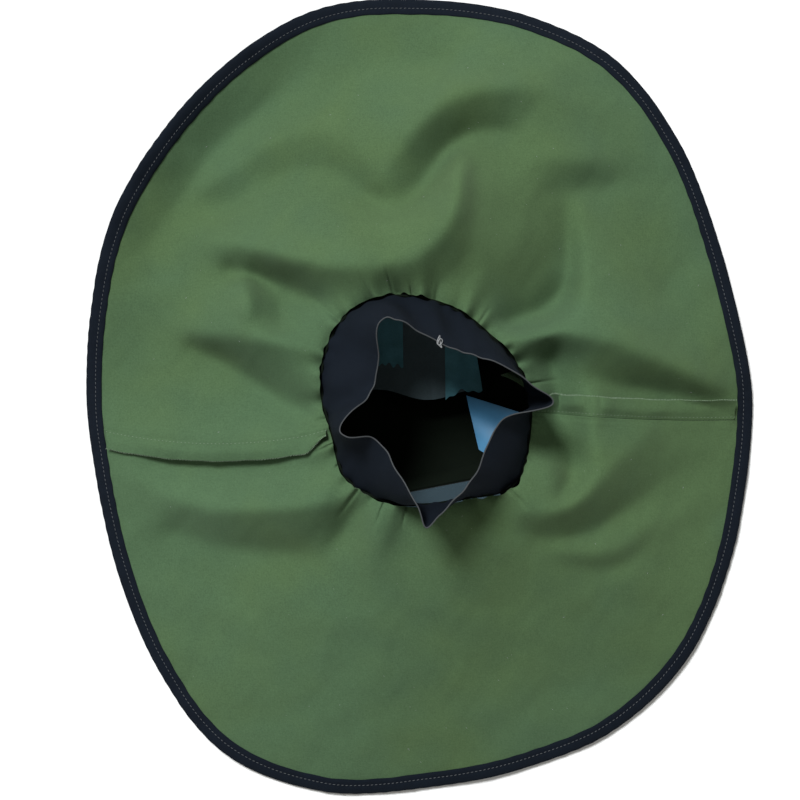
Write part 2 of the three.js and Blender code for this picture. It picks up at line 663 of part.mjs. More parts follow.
// Two layers of seam allowance folded over onto the cape, turned down towards side (-1 front, 1 back).
function seamFlap(seam, side, springAt) {
  const across = [0, 0.5, 1];
  const rows = [...capeRows.filter((share) => share > 0), 0.99];
  const front = [];
  const back = [];
  for (const share of rows) {
    const reach = share * bindingReach(seam.rimAngle);
    const angle = seamAngle(seam, reach);
    const [x, y] = capePlan(angle, reach);
    const seat = onCape(x, y);
    const upper = [];
    const lower = [];
    for (const part of across) {
      const away = seamAllowance * part;
      const ground = part === 0 ? seat.z : bridged(x, y + side * away);
      const spring = away * springAt(reach);
      const foot = Math.max(ground, seat.z - away * flapSag) + clearance + spring;
      lower.push(new THREE.Vector3(x, y + side * away, foot));
      upper.push(new THREE.Vector3(x, y + side * away, foot + flapThickness));
    }
    front.push(upper);
    back.push(lower);
  }
  return shellSolid(front, back);
}

// Point of the cuff: part 0 at the neck seam and 1 at the free edge, the cloth bulging a little between.
function cuffPoint(start, part) {
  const { edge, reach } = cuffEdgeAt(start);
  const base = neckReach(start) - innerClearance - cuffThickness / 2;
  const [bx, by] = planPoint(start, base);
  const [ex, ey] = planPoint(edge, reach * neckRadius);
  const footLevel = neckLevel(start) - capeThickness;
  const run = Math.hypot(ex - bx, ey - by);
  const rise = Math.sqrt(Math.max(cuffWidth ** 2 - run ** 2, (cuffWidth / 3) ** 2));
  const lean = part ** cuffBulge;
  return new THREE.Vector3(mix(bx, ex, lean), mix(by, ey, lean), footLevel + rise * part);
}

// Row of the free edge between two rows of the table, for a start angle.
function cuffEdgeAt(start) {
  const count = cuffEdge.length;
  const angle = ((start % 360) + 360) % 360;
  let first = count - 1;
  while (first > 0 && cuffEdge[first].start > angle) first--;
  const row = (step) => {
    const turn = Math.floor((first + step) / count) * 360;
    const { start: s, edge, reach } = cuffEdge[(((first + step) % count) + count) % count];
    const unwound = edge - s > 180 ? edge - 360 : edge;
    return { start: s + turn, edge: unwound + turn, reach };
  };
  const share = (angle - row(0).start) / (row(1).start - row(0).start);
  const along = (name) => spline(row(-1)[name], row(0)[name], row(1)[name], row(2)[name], share);
  return { edge: along("edge"), reach: along("reach") };
}

function neckCuff() {
  const outer = [];
  const inner = [];
  for (let r = 0; r <= cuffRows; r++) {
    const part = r / cuffRows;
    const outerRow = [];
    const innerRow = [];
    for (let c = 0; c < cuffColumns; c++) {
      const start = (c / cuffColumns) * 360;
      const point = cuffPoint(start, part);
      const above = cuffPoint(start, Math.min(1, part + 0.02));
      const up = above.sub(cuffPoint(start, Math.max(0, part - 0.02)));
      const side = cuffPoint(start + 1, part).sub(cuffPoint(start - 1, part));
      const normal = side.cross(up).normalize();
      outerRow.push(point.clone().addScaledVector(normal, cuffThickness / 2));
      innerRow.push(point.clone().addScaledVector(normal, -cuffThickness / 2));
    }
    outer.push(outerRow);
    inner.push(innerRow);
  }
  return shellSolid(outer, inner, true);
}

// The visor's own frame: x across, y up towards the neck, z out of the hood.
function visorMatrix() {
  const matrix = new THREE.Matrix4().makeRotationZ(degrees(visorTurn));
  matrix.multiply(new THREE.Matrix4().makeTranslation(0, -visorSet, visorLevel));
  matrix.multiply(new THREE.Matrix4().makeRotationX(degrees(90 + visorTilt)));
  return matrix;
}
const visorPlace = visorMatrix();
const visorNormal = new THREE.Vector3(0, 0, 1).transformDirection(visorPlace);
const visorMiddle = new THREE.Vector3().setFromMatrixPosition(visorPlace);

// Point of the bag's wall at an angle and a section, inset from its outer face. The front is pulled flat
// by the visor.
function bagPoint(angle, section, inset) {
  const bulge = 1 + (section.reach - 1) * (section.reach > 1 ? around(bagBulge, angle) : 1);
  const own = neckReach(angle) - innerClearance;
  const ripple = Math.sin(degrees(angle) * bagRipples) * bagRippleDepth * clamp01(section.reach - 0.9);
  const distance = mix(own, neckRadius, section.round) * bulge + ripple * section.round - inset;
  const top = mix(neckLevel(angle) - capeThickness - seamGap, neckHeight * bagTop, section.round);
  const level = section.level * top;
  const point = new THREE.Vector3(...planPoint(angle, distance), Math.max(level, inset));
  const beyond = point.clone().sub(visorMiddle).dot(visorNormal) + inset;
  if (beyond <= 0) return point;
  const outward = new THREE.Vector3(...planPoint(angle, 1), 0);
  return point.addScaledVector(outward, -beyond / outward.dot(visorNormal));
}

function headBag() {
  const vertices = [];
  const ring = (section, inset) => {
    for (let c = 0; c < bagColumns; c++) {
      vertices.push(bagPoint((c / bagColumns) * 360, section, inset));
    }
  };
  bagSections.forEach((section) => ring(section, 0));
  bagSections.forEach((section) => ring(section, bagThickness));
  vertices.push(new THREE.Vector3(0, 0, 0), new THREE.Vector3(0, 0, bagThickness));
  const rows = bagSections.length;
  const outerPole = 2 * rows * bagColumns;
  const triangles = [];
  for (let c = 0; c < bagColumns; c++) {
    const next = (c + 1) % bagColumns;
    for (let r = 0; r < rows - 1; r++) {
      const [a, b] = [r * bagColumns, (r + 1) * bagColumns];
      const [e, f] = [(rows + r) * bagColumns, (rows + r + 1) * bagColumns];
      triangles.push(a + c, b + c, b + next, a + c, b + next, a + next);
      triangles.push(e + c, f + next, f + c, e + c, e + next, f + next);
    }
    const outerLast = (rows - 1) * bagColumns;
    const innerLast = (2 * rows - 1) * bagColumns;
    triangles.push(outerLast + c, outerPole, outerLast + next);
    triangles.push(innerLast + c, innerLast + next, outerPole + 1);
    const innerTop = rows * bagColumns;
    triangles.push(c, next, innerTop + next, c, innerTop + next, innerTop + c);
  }
  const wall = toManifold(geometryOf(vertices, triangles));
  const depth = 20 * bagThickness;
  const cutter = roundedBlock(visorWidth - 2 * visorBorder, visorHeight - 2 * visorBorder, depth, null);
  cutter.translate(0, 0, -depth / 2);
  cutter.applyMatrix4(visorPlace);
  return fromManifold(wall.subtract(toManifold(cutter)));
}

function roundedOutline(shape, width, height, corner) {
  const [x, y] = [width / 2, height / 2];
  shape.moveTo(-x + corner, -y);
  shape.lineTo(x - corner, -y);
  shape.absarc(x - corner, -y + corner, corner, -Math.PI / 2, 0);
  shape.lineTo(x, y - corner);
  shape.absarc(x - corner, y - corner, corner, 0, Math.PI / 2);
  shape.lineTo(-x + corner, y);
  shape.absarc(-x + corner, y - corner, corner, Math.PI / 2, Math.PI);
  shape.lineTo(-x, -y + corner);
  shape.absarc(-x + corner, -y + corner, corner, Math.PI, 1.5 * Math.PI);
  return shape;
}

// Flat block with round corners, with an opening where one is given.
function roundedBlock(width, height, depth, opening) {
  const shape = roundedOutline(new THREE.Shape(), width, height, visorCorner);
  if (opening) {
    shape.holes.push(roundedOutline(new THREE.Path(), opening.width, opening.height, visorCorner));
  }
  return new THREE.ExtrudeGeometry(shape, { depth, bevelEnabled: false, curveSegments: 5 });
}

function visorFrame() {
  const opening = { width: visorWidth - 2 * visorBorder, height: visorHeight - 2 * visorBorder };
  const frame = roundedBlock(visorWidth, visorHeight, frameThickness, opening);
  return frame.translate(0, 0, clearance);
}

function visorPane() {
  const margin = 2 * (visorBorder + clearance);
  const pane = roundedBlock(visorWidth - margin, visorHeight - margin, paneThickness, null);
  return pane.translate(0, 0, clearance + (frameThickness - paneThickness) / 2);
}

// Middle of the nape pad: down 0 at the neck seam and 1 at the free edge, across 0 right and 1 left.
function padPoint(down, across) {
  const angle = mix(napePad.startAngle, napePad.endAngle, across);
  const seat = bagPoint(angle, bagSections[1], bagThickness + innerClearance + padThickness / 3);
  const freeX = neckRadius * mix(napePad.edgeRight, napePad.edgeLeft, across);
  const freeY = neckRadius * (napePad.edgeSet + napePad.edgeWave * Math.cos(across * napePad.waves));
  const sag = Math.sin(down * Math.PI) * padSag;
  const level = seat.z - padDrop * down - sag;
  return new THREE.Vector3(mix(seat.x, freeX, down), mix(seat.y, freeY, down), level);
}

// Sheet that follows the pad's upper side, lifted off it, between two lines down and across.
function onPad(top, foot, right, left, lift, thickness, rows, columns) {
  const front = [];
  const back = [];
  for (let r = 0; r <= rows; r++) {
    const down = mix(top, foot, r / rows);
    const upper = [];
    const lower = [];
    for (let c = 0; c <= columns; c++) {
      const across = mix(right, left, c / columns);
      const point = padPoint(down, across);
      const slope = padPoint(down + 0.01, across).sub(padPoint(down - 0.01, across));
      const side = padPoint(down, across + 0.01).sub(padPoint(down, across - 0.01));
      const normal = side.cross(slope).normalize();
      if (normal.z < 0) normal.negate();
      lower.push(point.clone().addScaledVector(normal, lift));
      upper.push(point.clone().addScaledVector(normal, lift + thickness));
    }
    front.push(upper);
    back.push(lower);
  }
  return shellSolid(front, back);
}

const napePadSolid = () => onPad(0, 1, 0, 1, -padThickness / 2, padThickness, 6, 8);

function tealStripSolid() {
  const padWidth = neckRadius * (napePad.edgeRight - napePad.edgeLeft);
  const half = stripWidth / 2 / padWidth;
  const { top, foot, across } = tealStrip;
  const lift = padThickness / 2 + innerClearance;
  return onPad(top, foot, across - half, across + half, lift, stripThickness, 5, 3);
}

function tealPocketSolid() {
  const { top, foot, right, left } = tealPocket;
  const lift = padThickness / 2 + innerClearance;
  return onPad(top, foot, right, left, lift, pocketThickness, 4, 4);
}

// Allowance of the bag's side seam, standing in from the wall between two levels of the bag.
function sideSeam(angle, fromSection, toSection, twist) {
  const front = [];
  const back = [];
  for (let s = fromSection; s <= toSection; s++) {
    const section = bagSections[s];
    const upper = [];
    const lower = [];
    for (const part of [0, 0.5, 1]) {
      const inset = bagThickness + innerClearance + part * sideSeamWidth;
      const point = bagPoint(angle + twist * part, section, inset);
      const away = new THREE.Vector3(-Math.sin(degrees(angle)), Math.cos(degrees(angle)), 0);
      upper.push(point.clone().addScaledVector(away, sideSeamThickness / 2));
      lower.push(point.clone().addScaledVector(away, -sideSeamThickness / 2));
    }
    front.push(upper);
    back.push(lower);
  }
  return shellSolid(front, back);
}

// Clear film hanging from the bag's right wall across the hollow.
function blueFilmSolid() {
  const front = [];
  const back = [];
  for (const part of [0, 0.25, 0.5, 0.75, 1]) {
    const upper = [];
    const lower = [];
    filmAngles.forEach((angle, i) => {
      const seat = bagPoint(angle, bagSections[3], bagThickness + innerClearance);
      const away = i / (filmAngles.length - 1);
      const freeX = neckRadius * mix(filmEdge.backX, filmEdge.frontX, away);
      const freeY = neckRadius * mix(filmEdge.backY, filmEdge.frontY, away);
      const sag = filmSag * Math.sin(away * Math.PI);
      const level = seat.z - filmDrop * part ** 1.5 - sag;
      const point = new THREE.Vector3(mix(seat.x, freeX, part), mix(seat.y, freeY, part), level);
      lower.push(point);
      upper.push(point.clone().add(new THREE.Vector3(0, 0, filmThickness)));
    });
    front.push(upper);
    back.push(lower);
  }
  return shellSolid(front, back);
}

const canvas = new THREE.MeshStandardMaterial({ color: 0x546e51, roughness: 0.93, metalness: 0 });
const canvasDark = new THREE.MeshStandardMaterial({ color: 0x3a4632, roughness: 0.95, metalness: 0 });
const tape = new THREE.MeshStandardMaterial({ color: 0x20293a, roughness: 0.85, metalness: 0 });
const navyCloth = new THREE.MeshStandardMaterial({ color: 0x1d232a, roughness: 0.88, metalness: 0 });
const padCloth = new THREE.MeshStandardMaterial({ color: 0x23282a, roughness: 0.9, metalness: 0 });
const tealCloth = new THREE.MeshStandardMaterial({ color: 0x1d3338, roughness: 0.7, metalness: 0 });
const blackPlastic = new THREE.MeshStandardMaterial({ color: 0x16181a, roughness: 0.5, metalness: 0 });
const clearPane = new THREE.MeshStandardMaterial({
  color: 0xb9c8cc,
  roughness: 0.08,
  metalness: 0,
  transparent: true,
  opacity: 0.4,
});
const blueFilm = new THREE.MeshStandardMaterial({
  color: 0x35607c,
  roughness: 0.25,
  metalness: 0,
  transparent: true,
  opacity: 0.7,
});

function part(name, geometry, material) {
  const mesh = new THREE.Mesh(geometry, material);
  mesh.name = name;
  return mesh;
}

const springOnRight = (reach) => mix(flapSpring, rightFlapSpring, reach ** 3);

const hood = new THREE.Group();
hood.add(
  part("cape_back", capeHalf(rightSeam, leftSeam, backColumns), canvas),
  part("cape_front", capeHalf(leftSeam, rightSeam, frontColumns), canvas),
  part("cape_binding", bindingRing(), tape),
  part("seam_flap_left", seamFlap(leftSeam, -1, () => flapSpring), canvas),
  part("seam_flap_right", seamFlap(rightSeam, 1, springOnRight), canvas),
  part("neck_cuff", neckCuff(), navyCloth),
  part("hood_body", headBag(), canvasDark),
  part("nape_pad", napePadSolid(), padCloth),
  part("teal_strip", tealStripSolid(), tealCloth),
  part("teal_pocket", tealPocketSolid(), tealCloth),
  part("blue_film", blueFilmSolid(), blueFilm),
  part("side_seam_right", sideSeam(6, 1, 4, 10), canvasDark),
  part("side_seam_left", sideSeam(196, 1, 5, -8), canvasDark),
);

const visor = new THREE.Group();
visor.applyMatrix4(visorPlace);
visor.add(
  part("visor_frame", visorFrame(), blackPlastic),
  part("visor_pane", visorPane(), clearPane),
);
hood.add(visor);

// The origin lies on the floor under the middle of the cape.
const extent = new THREE.Box3().setFromObject(hood);
const middle = extent.getCenter(new THREE.Vector3());
hood.position.set(-middle.x, -middle.y, -extent.min.z);

export default hood;
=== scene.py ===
"""Sandblasting hood lying crown down: canvas cape with bound rim, neck cuff, head bag and linings."""

import functools
import math

import bmesh
import bpy
import numpy as np
from bpy.props import FloatProperty, FloatVectorProperty, IntProperty, PointerProperty
from mathutils import Matrix, Vector


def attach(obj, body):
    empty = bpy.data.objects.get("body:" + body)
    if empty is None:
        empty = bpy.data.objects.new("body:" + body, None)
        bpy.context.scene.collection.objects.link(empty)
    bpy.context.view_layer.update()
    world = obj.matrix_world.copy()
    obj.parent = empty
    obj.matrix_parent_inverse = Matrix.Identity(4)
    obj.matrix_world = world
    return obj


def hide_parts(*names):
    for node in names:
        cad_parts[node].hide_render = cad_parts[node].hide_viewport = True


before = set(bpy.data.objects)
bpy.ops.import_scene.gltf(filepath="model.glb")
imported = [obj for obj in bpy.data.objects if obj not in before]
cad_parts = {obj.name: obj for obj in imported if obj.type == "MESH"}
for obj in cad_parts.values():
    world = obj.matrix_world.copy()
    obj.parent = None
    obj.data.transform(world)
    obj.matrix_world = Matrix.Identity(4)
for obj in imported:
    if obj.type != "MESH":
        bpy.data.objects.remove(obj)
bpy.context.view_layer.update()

bl_info = {
    "name": "Sandblasting Hood",
    "version": (1, 0, 0),
    "blender": (4, 5, 0),
    "location": "View3D > Sidebar > Hood",
    "description": "Builds a canvas blasting hood that lies crown down with its cape spread",
    "category": "Add Mesh",
}

# The neck axis in the row frame, in metres. All shapes are worked out round it.
NECK_AXIS = (0.0045, -0.0006)

# Rim of the cape, every 15 degrees counterclockwise from +X, as shares of its ellipse.
RIM_SHARES = (
    0.98, 0.96, 0.965, 0.995, 1.02, 1.005, 0.997, 1.018, 1.014, 1.016, 1.027, 1.013,
    1.007, 1.0, 1.017, 1.048, 1.076, 1.037, 0.98, 0.977, 1.01, 1.024, 1.006, 0.985,
)

# Gathered neck seam, every 22.5 degrees from +X, as shares of the neck radius.
NECK_SHARES = (
    1.0, 0.92, 0.85, 0.875, 0.935, 1.03, 1.08, 1.04, 0.985, 0.955, 1.07, 1.05, 1.02, 1.03, 1.17, 1.06,
)

# Lie of the cape, every 30 degrees from +X: height as shares of the neck's height, from the neck seam to
# the rim in quarters.
CAPE_LIE = (
    (0.84, 0.62, 0.4, 0.2, 0.05),
    (0.84, 0.64, 0.41, 0.19, 0.05),
    (0.84, 0.68, 0.43, 0.2, 0.05),
    (0.82, 0.68, 0.44, 0.21, 0.05),
    (0.78, 0.62, 0.35, 0.13, 0.27),
    (0.76, 0.56, 0.32, 0.13, 0.27),
    (0.76, 0.54, 0.35, 0.2, 0.12),
    (0.8, 0.59, 0.39, 0.21, 0.07),
    (0.86, 0.67, 0.45, 0.24, 0.045),
    (0.88, 0.7, 0.48, 0.26, 0.045),
    (0.88, 0.68, 0.46, 0.25, 0.05),
    (0.86, 0.64, 0.42, 0.22, 0.05),
)

# Lines that the cape is creased along, crests and valleys alike: places x and y from the neck axis as
# shares of the neck radius, and how far the cloth lies above or below its lie there, as a share of the
# neck's height.
FOLD_LINES = {
    "rim valley": (
        (-1.07, 3.23, -0.01), (-1.55, 2.85, -0.04), (-2.04, 2.41, -0.05), (-2.4, 1.92, -0.04),
        (-2.72, 1.43, -0.01),
    ),
    "upper ridge": (
        (-2.18, 2.01, 0.06), (-1.83, 2.25, 0.12), (-1.35, 2.52, 0.16), (-0.86, 2.5, 0.16),
        (-0.5, 2.2, 0.12),
    ),
    "upper valley": (
        (-2.07, 1.76, -0.01), (-1.69, 1.97, -0.01), (-1.28, 2.17, -0.01), (-0.91, 2.16, -0.01),
        (-0.6, 1.95, -0.06), (-0.37, 1.79, -0.07),
    ),
    "roll": (
        (-2.52, 1.35, 0.05), (-2.17, 1.5, 0.12), (-1.81, 1.45, 0.21), (-1.48, 1.37, 0.28),
        (-1.17, 1.27, 0.31), (-0.75, 1.21, 0.28), (-0.24, 1.25, 0.25), (0.07, 1.42, 0.31),
        (0.24, 1.68, 0.39), (0.3, 2, 0.35), (0.32, 2.28, 0.15),
    ),
    "under roll": ((-1.9, 1.21, -0.05), (-1.6, 1.14, -0.11), (-1.29, 1.02, -0.14), (-1, 0.88, -0.1)),
    "under roll right": ((-0.43, 0.98, 0.02), (-0.15, 1, 0.02), (0.15, 1.02, 0), (0.45, 1.19, 0.02)),
    "s crest": (
        (-0.43, 1.99, 0.06), (-0.26, 2.32, 0.18), (0.01, 2.66, 0.28), (0.33, 2.88, 0.31),
        (0.71, 2.95, 0.29), (1.15, 2.92, 0.22), (1.59, 2.79, 0.12), (1.94, 2.59, 0.05),
    ),
    "s valley": (
        (-0.2, 1.81, -0.07), (0.01, 2.05, -0.09), (0.2, 2.33, -0.09), (0.47, 2.53, -0.04),
        (0.84, 2.53, -0.01),
    ),
    "beside upright": ((0.46, 2.2, 0.1), (0.49, 1.85, 0.15), (0.49, 1.51, 0.13), (0.45, 1.26, 0.05)),
    "right streak": ((1.09, 2.26, 0.12), (1.48, 2.27, 0.15), (1.86, 2.29, 0.07)),
    "right streak foot": ((1.14, 1.94, -0.03), (1.54, 1.99, -0.03), (1.91, 2.07, -0.01)),
    "trough": (
        (1.35, 1.84, -0.07), (1.38, 1.51, -0.15), (1.38, 1.2, -0.21), (1.29, 0.95, -0.31),
        (1.1, 0.8, -0.32), (0.76, 0.68, -0.28),
    ),
    "trough ridge": (
        (1.48, 1.84, 0), (1.5, 1.5, 0.01), (1.5, 1.16, 0.04), (1.46, 0.84, 0.07), (1.26, 0.64, 0.09),
        (0.97, 0.57, 0.02), (0.69, 0.59, -0.04),
    ),
    "right crest": (
        (1.37, 0.59, 0.14), (1.77, 0.53, 0.21), (2.05, 0.42, 0.22), (2.33, 0.31, 0.2), (2.63, 0.18, 0.14),
        (2.88, 0.06, 0.06),
    ),
    "right root": (
        (1.58, 0.18, -0.12), (1.86, 0.09, -0.12), (2.22, 0.06, -0.11), (2.57, 0.01, -0.07),
        (2.87, -0.03, -0.03),
    ),
    "hollow": ((1.17, 0.45, -0.32), (1.25, 0.12, -0.36), (1.27, -0.17, -0.33), (1.08, -0.4, -0.26)),
    "hollow rim": ((1.57, -0.02, 0.05), (1.58, -0.31, 0.06), (1.61, -0.59, 0.1)),
    "plateau": (
        (2.14, -0.34, 0.06), (1.94, -0.5, 0.1), (1.74, -0.66, 0.14), (1.56, -0.83, 0.16),
        (1.37, -0.98, 0.17), (1.15, -1.07, 0.13), (0.87, -1.06, 0.05),
    ),
    "hollow bump": ((1.14, -0.66, 0.02), (1.21, -0.82, 0.06), (1.14, -1, 0.06)),
    "hollow groove": ((1.37, -0.31, -0.22), (1.4, -0.55, -0.19), (1.4, -0.76, -0.07), (1.26, -0.93, -0.02)),
    "right valley": (
        (2.67, -0.51, -0.01), (2.39, -0.74, -0.05), (2.18, -0.89, -0.07), (1.99, -1.03, -0.07),
        (1.76, -1.17, -0.07), (1.52, -1.3, -0.07), (1.22, -1.35, -0.06), (0.96, -1.26, -0.04),
    ),
    "crease": (
        (1.08, -1.45, -0.01), (1.42, -1.6, -0.03), (1.72, -1.65, -0.04), (1.97, -1.56, -0.04),
        (2.31, -1.28, -0.01),
    ),
    "crease crest": ((1.26, -1.42, 0.03), (1.64, -1.5, 0.04), (1.91, -1.41, 0.03), (2.21, -1.18, 0.01)),
    "front right pleat": ((0.27, -0.99, 0.04), (0.5, -1.23, 0.07), (0.74, -1.43, 0.05)),
    "front right fold": ((0.48, -1, -0.03), (0.74, -1.24, -0.02), (0.98, -1.39, -0.01)),
    "front left pleat": ((-0.5, -1, 0.05), (-0.46, -1.23, 0.06), (-0.43, -1.52, 0.02)),
    "front left line": ((-0.63, -1.01, -0.08), (-0.79, -1.29, -0.12), (-0.94, -1.53, -0.07)),
    "front middle": ((-0.22, -1.09, -0.01), (-0.24, -1.38, -0.01), (-0.2, -1.66, 0)),
    "under seam crest": (
        (-3.03, -0.43, 0.04), (-2.8, -0.72, 0.09), (-2.49, -0.93, 0.15), (-2.19, -1.03, 0.2),
        (-1.74, -1.04, 0.25), (-1.26, -1.02, 0.25), (-0.89, -0.95, 0.14),
    ),
    "under seam foot": (
        (-2.47, -1.28, -0.01), (-2.12, -1.4, -0.04), (-1.72, -1.46, -0.07), (-1.33, -1.47, -0.09),
        (-1.01, -1.52, -0.09),
    ),
    "under seam hollow": (
        (-2.66, -0.62, 0), (-2.16, -0.68, 0), (-1.67, -0.69, -0.03), (-1.28, -0.65, -0.03),
        (-1.04, -0.61, -0.03),
    ),
    "left seam": ((-3.11, -0.3, 0.06), (-2.55, -0.39, 0.09), (-1.95, -0.42, 0.11), (-1.18, -0.36, 0.06)),
    "left crest": (
        (-2.33, 0.65, 0.1), (-2.1, 0.6, 0.18), (-1.8, 0.58, 0.22), (-1.55, 0.55, 0.25), (-1.32, 0.5, 0.21),
        (-1.1, 0.42, 0.12),
    ),
    "left valley": (
        (-2.3, 0.5, 0.01), (-2.11, 0.43, -0.06), (-1.85, 0.29, -0.12), (-1.6, 0.13, -0.17),
        (-1.34, -0.04, -0.16), (-1.11, -0.16, -0.12),
    ),
    "left hollow crest": ((-1.79, 1.24, 0.05), (-1.69, 1.01, 0.22), (-1.67, 0.77, 0.28)),
    "left hollow": ((-1.38, 0.93, -0.12), (-1.34, 0.71, -0.05)),
    "left bump": ((-2.96, 0.94, 0.07), (-2.66, 1.04, 0.1), (-2.36, 0.94, 0.1)),
    "left hand": ((-2.96, 0.32, 0), (-2.56, 0.17, 0.01), (-2.06, -0.02, 0.03)),
    "front": ((-2.47, -1.97, 0), (-1.39, -2.17, 0), (-0.24, -2.2, 0), (0.9, -2.11, 0), (2.06, -1.66, 0)),
    "right": ((2.23, 1.53, 0), (2.37, 0.94, 0)),
    "back": ((-1.01, 2.88, 0.04), (-0.43, 3.17, 0.03), (0.24, 3.27, 0.01)),
}

# The sheet that is drawn over the fold lines: size of its grid and of a cell, how hard the lines hold it,
# where it is held flat beyond the rim (1 at the rim), and how it is worked out and softened.
SHEET_MARGIN = 1.085
SHEET_STEP = 0.004
SHEET_HOLD = 3.0
SHEET_END = 1.06
SHEET_SWEEPS = 600
SHEET_PUSH = 1.95
SHEET_SOFTNESS = 0.0055

# Seams between the two halves of the cape: angle at the neck and at the rim.
RIGHT_SEAM = (-7.5, -4.0)
LEFT_SEAM = (198.0, 185.5)

# Free edge of the neck cuff: where the cloth starts on the neck seam, and the angle and the distance of its
# edge from the neck axis as a share of the neck radius.
CUFF_EDGE = (
    (0, -3, 1.15), (14, 8, 0.94), (32, 22, 0.76), (50, 36, 0.61), (68, 56, 0.51), (86, 78, 0.51),
    (102, 97, 0.6), (116, 111, 0.75), (132, 122, 0.8), (150, 140, 0.57), (168, 163, 0.49),
    (184, 183, 0.56), (198, 198, 0.82), (210, 206, 0.8), (222, 216, 0.62), (236, 234, 0.61),
    (250, 254, 0.78), (262, 265, 0.97), (270, 269.5, 1.17), (279, 276, 1.06), (292, 286, 0.94),
    (307, 302, 0.82), (322, 320, 0.71), (336, 336, 0.69), (349, 349, 0.8),
)

# Sections of the head bag: level as a share of the way up to the neck seam, reach as a share of the neck
# seam's reach, and how far the section has become a circle.
BAG_SECTIONS = (
    (1, 1, 0), (0.86, 1, 0), (0.72, 1.08, 0.3), (0.57, 1.15, 0.6), (0.4, 1.19, 0.9), (0.21, 1.17, 1),
    (0.035, 1.03, 1), (0, 0.93, 1), (0, 0.55, 1), (0, 0.02, 1),
)
# How much of its sections' bulge the bag has, every 45 degrees from +X.
BAG_BULGE = (0.4, 0.7, 1, 0.8, 0.9, 0.9, 1.2, 0.9)

# The visor: sides of its frame, the frame's border, and the place and lean of its middle.
VISOR_SIZE = (0.134, 0.094)
VISOR_BORDER = 0.013
VISOR_PLACE = (
    Matrix.Rotation(math.radians(11), 4, "Z")
    @ Matrix.Translation((0, -0.104, 0.054))
    @ Matrix.Rotation(math.radians(90 + 27), 4, "X")
)

# Angles between which the nape pad hangs from the neck seam.
PAD_ANGLES = (58, 126)

# Seams of the cape: air between the two halves, rise of the cloth over the allowances inside it, and how
# steeply a turned allowance may fall away.
SEAM_GAP = 0.00015
SEAM_RISE = 0.0019
FLAP_SLOPE = 0.22

# Air between the canvas and the edge tape on each face, and the tape's length and width on its cloth map.
TAPE_GAP = 0.00025
TAPE_MAP = (2.3, 0.036)

# Finish of each cloth: its colour, the pitch of its threads, the strength of slubs, fading and dust, the size
# of its faded patches, the depth of its relief, sheen and yellowing.
CLOTHS = {
    "Canvas": ("canvas", 0.0009, 0.3, 0.28, 0.7, 0.05, 0.0003, 0.05, 0.55),
    # The bag canvas row is coloured near black: painted shade of the hollow, not the canvas's own green.
    "Bag canvas with painted shade": ("bag", 0.0009, 0.5, 0.6, 0.3, 0.04, 0.0002, 0.0, 0.0),
    "Edge tape": ("tape", 0.0005, 0.35, 0.5, 0.35, 0.02, 0.00012, 0.0, 0.0),
    "Navy cloth": ("cuff", 0.0006, 0.3, 0.5, 0.3, 0.03, 0.00015, 0.0, 0.0),
    "Pad cloth": ("pad", 0.0007, 0.4, 0.5, 0.25, 0.04, 0.0002, 0.05, 0.0),
    "Teal cloth": ("teal", 0.0006, 0.4, 0.7, 0.3, 0.015, 0.0001, 0.0, 0.0),
}

# Colours of the threads beside the grey one, as linear red, green and blue.
THREADS = {
    "Green thread": (0.19, 0.26, 0.18),
    "Seam thread": (0.15, 0.21, 0.14),
    "Dark grey thread": (0.04, 0.045, 0.05),
    "Pale thread": (0.3, 0.31, 0.32),
}

# The stage: direction, softness and colour of the key light, colour of the even light and of the floor, and
# the camera's place over the floor and its lens.
KEY_DIRECTION = (-0.30, 0.50, 0.81)
KEY_SOFTNESS = 0.3
KEY_COLOUR = (0.97, 0.99, 1.0)
AMBIENT_COLOUR = (1.0, 0.985, 0.93, 1)
PAPER_COLOUR = (0.92, 0.92, 0.92, 1)
CAMERA_PLACE = (-0.020, -0.0031)
CAMERA_LENS = 90


def length(name, description, default):
    return FloatProperty(
        name=name, description=description, default=default, min=0.0, unit="LENGTH", precision=4
    )


def strength(name, description, default):
    return FloatProperty(name=name, description=description, default=default, min=0.0)


def colour(name, description, default):
    return FloatVectorProperty(
        name=name, description=description, default=default, size=3, min=0.0, max=1.0, subtype="COLOR"
    )


class HoodSizes(bpy.types.PropertyGroup):
    """Sizes of the hood's cloth pieces."""

    cape_width: length("Cape width", "Across the cape from side to side", 0.664)
    cape_length: length("Cape length", "Along the cape from front to back", 0.792)
    canvas_thickness: length("Canvas thickness", "Thickness of the cape's canvas as it shows", 0.0013)
    seam_allowance: length("Seam allowance", "Width of the turned seam allowances", 0.019)
    binding_width: length("Binding width", "Width of the edge tape on each face", 0.0145)
    binding_thickness: length("Binding thickness", "Thickness of the edge tape", 0.001)
    stitch_pitch: length("Stitch pitch", "Distance from stitch to stitch", 0.0042)
    stitch_length: length("Stitch length", "Length of one stitch", 0.003)
    thread_radius: length("Thread radius", "Radius of the sewing thread", 0.00032)
    neck_radius: length("Neck radius", "Radius of the gathered neck seam", 0.102)
    neck_height: length("Neck height", "Height of the neck seam above the floor", 0.125)
    gather_depth: length("Gather depth", "Depth of the gathers at the neck seam", 0.006)
    cuff_width: length("Cuff width", "Width of the neck cuff's cloth", 0.070)
    cuff_thickness: length("Cuff thickness", "Thickness of the neck cuff's cloth", 0.0009)
    bag_thickness: length("Bag thickness", "Thickness of the head bag's canvas", 0.002)


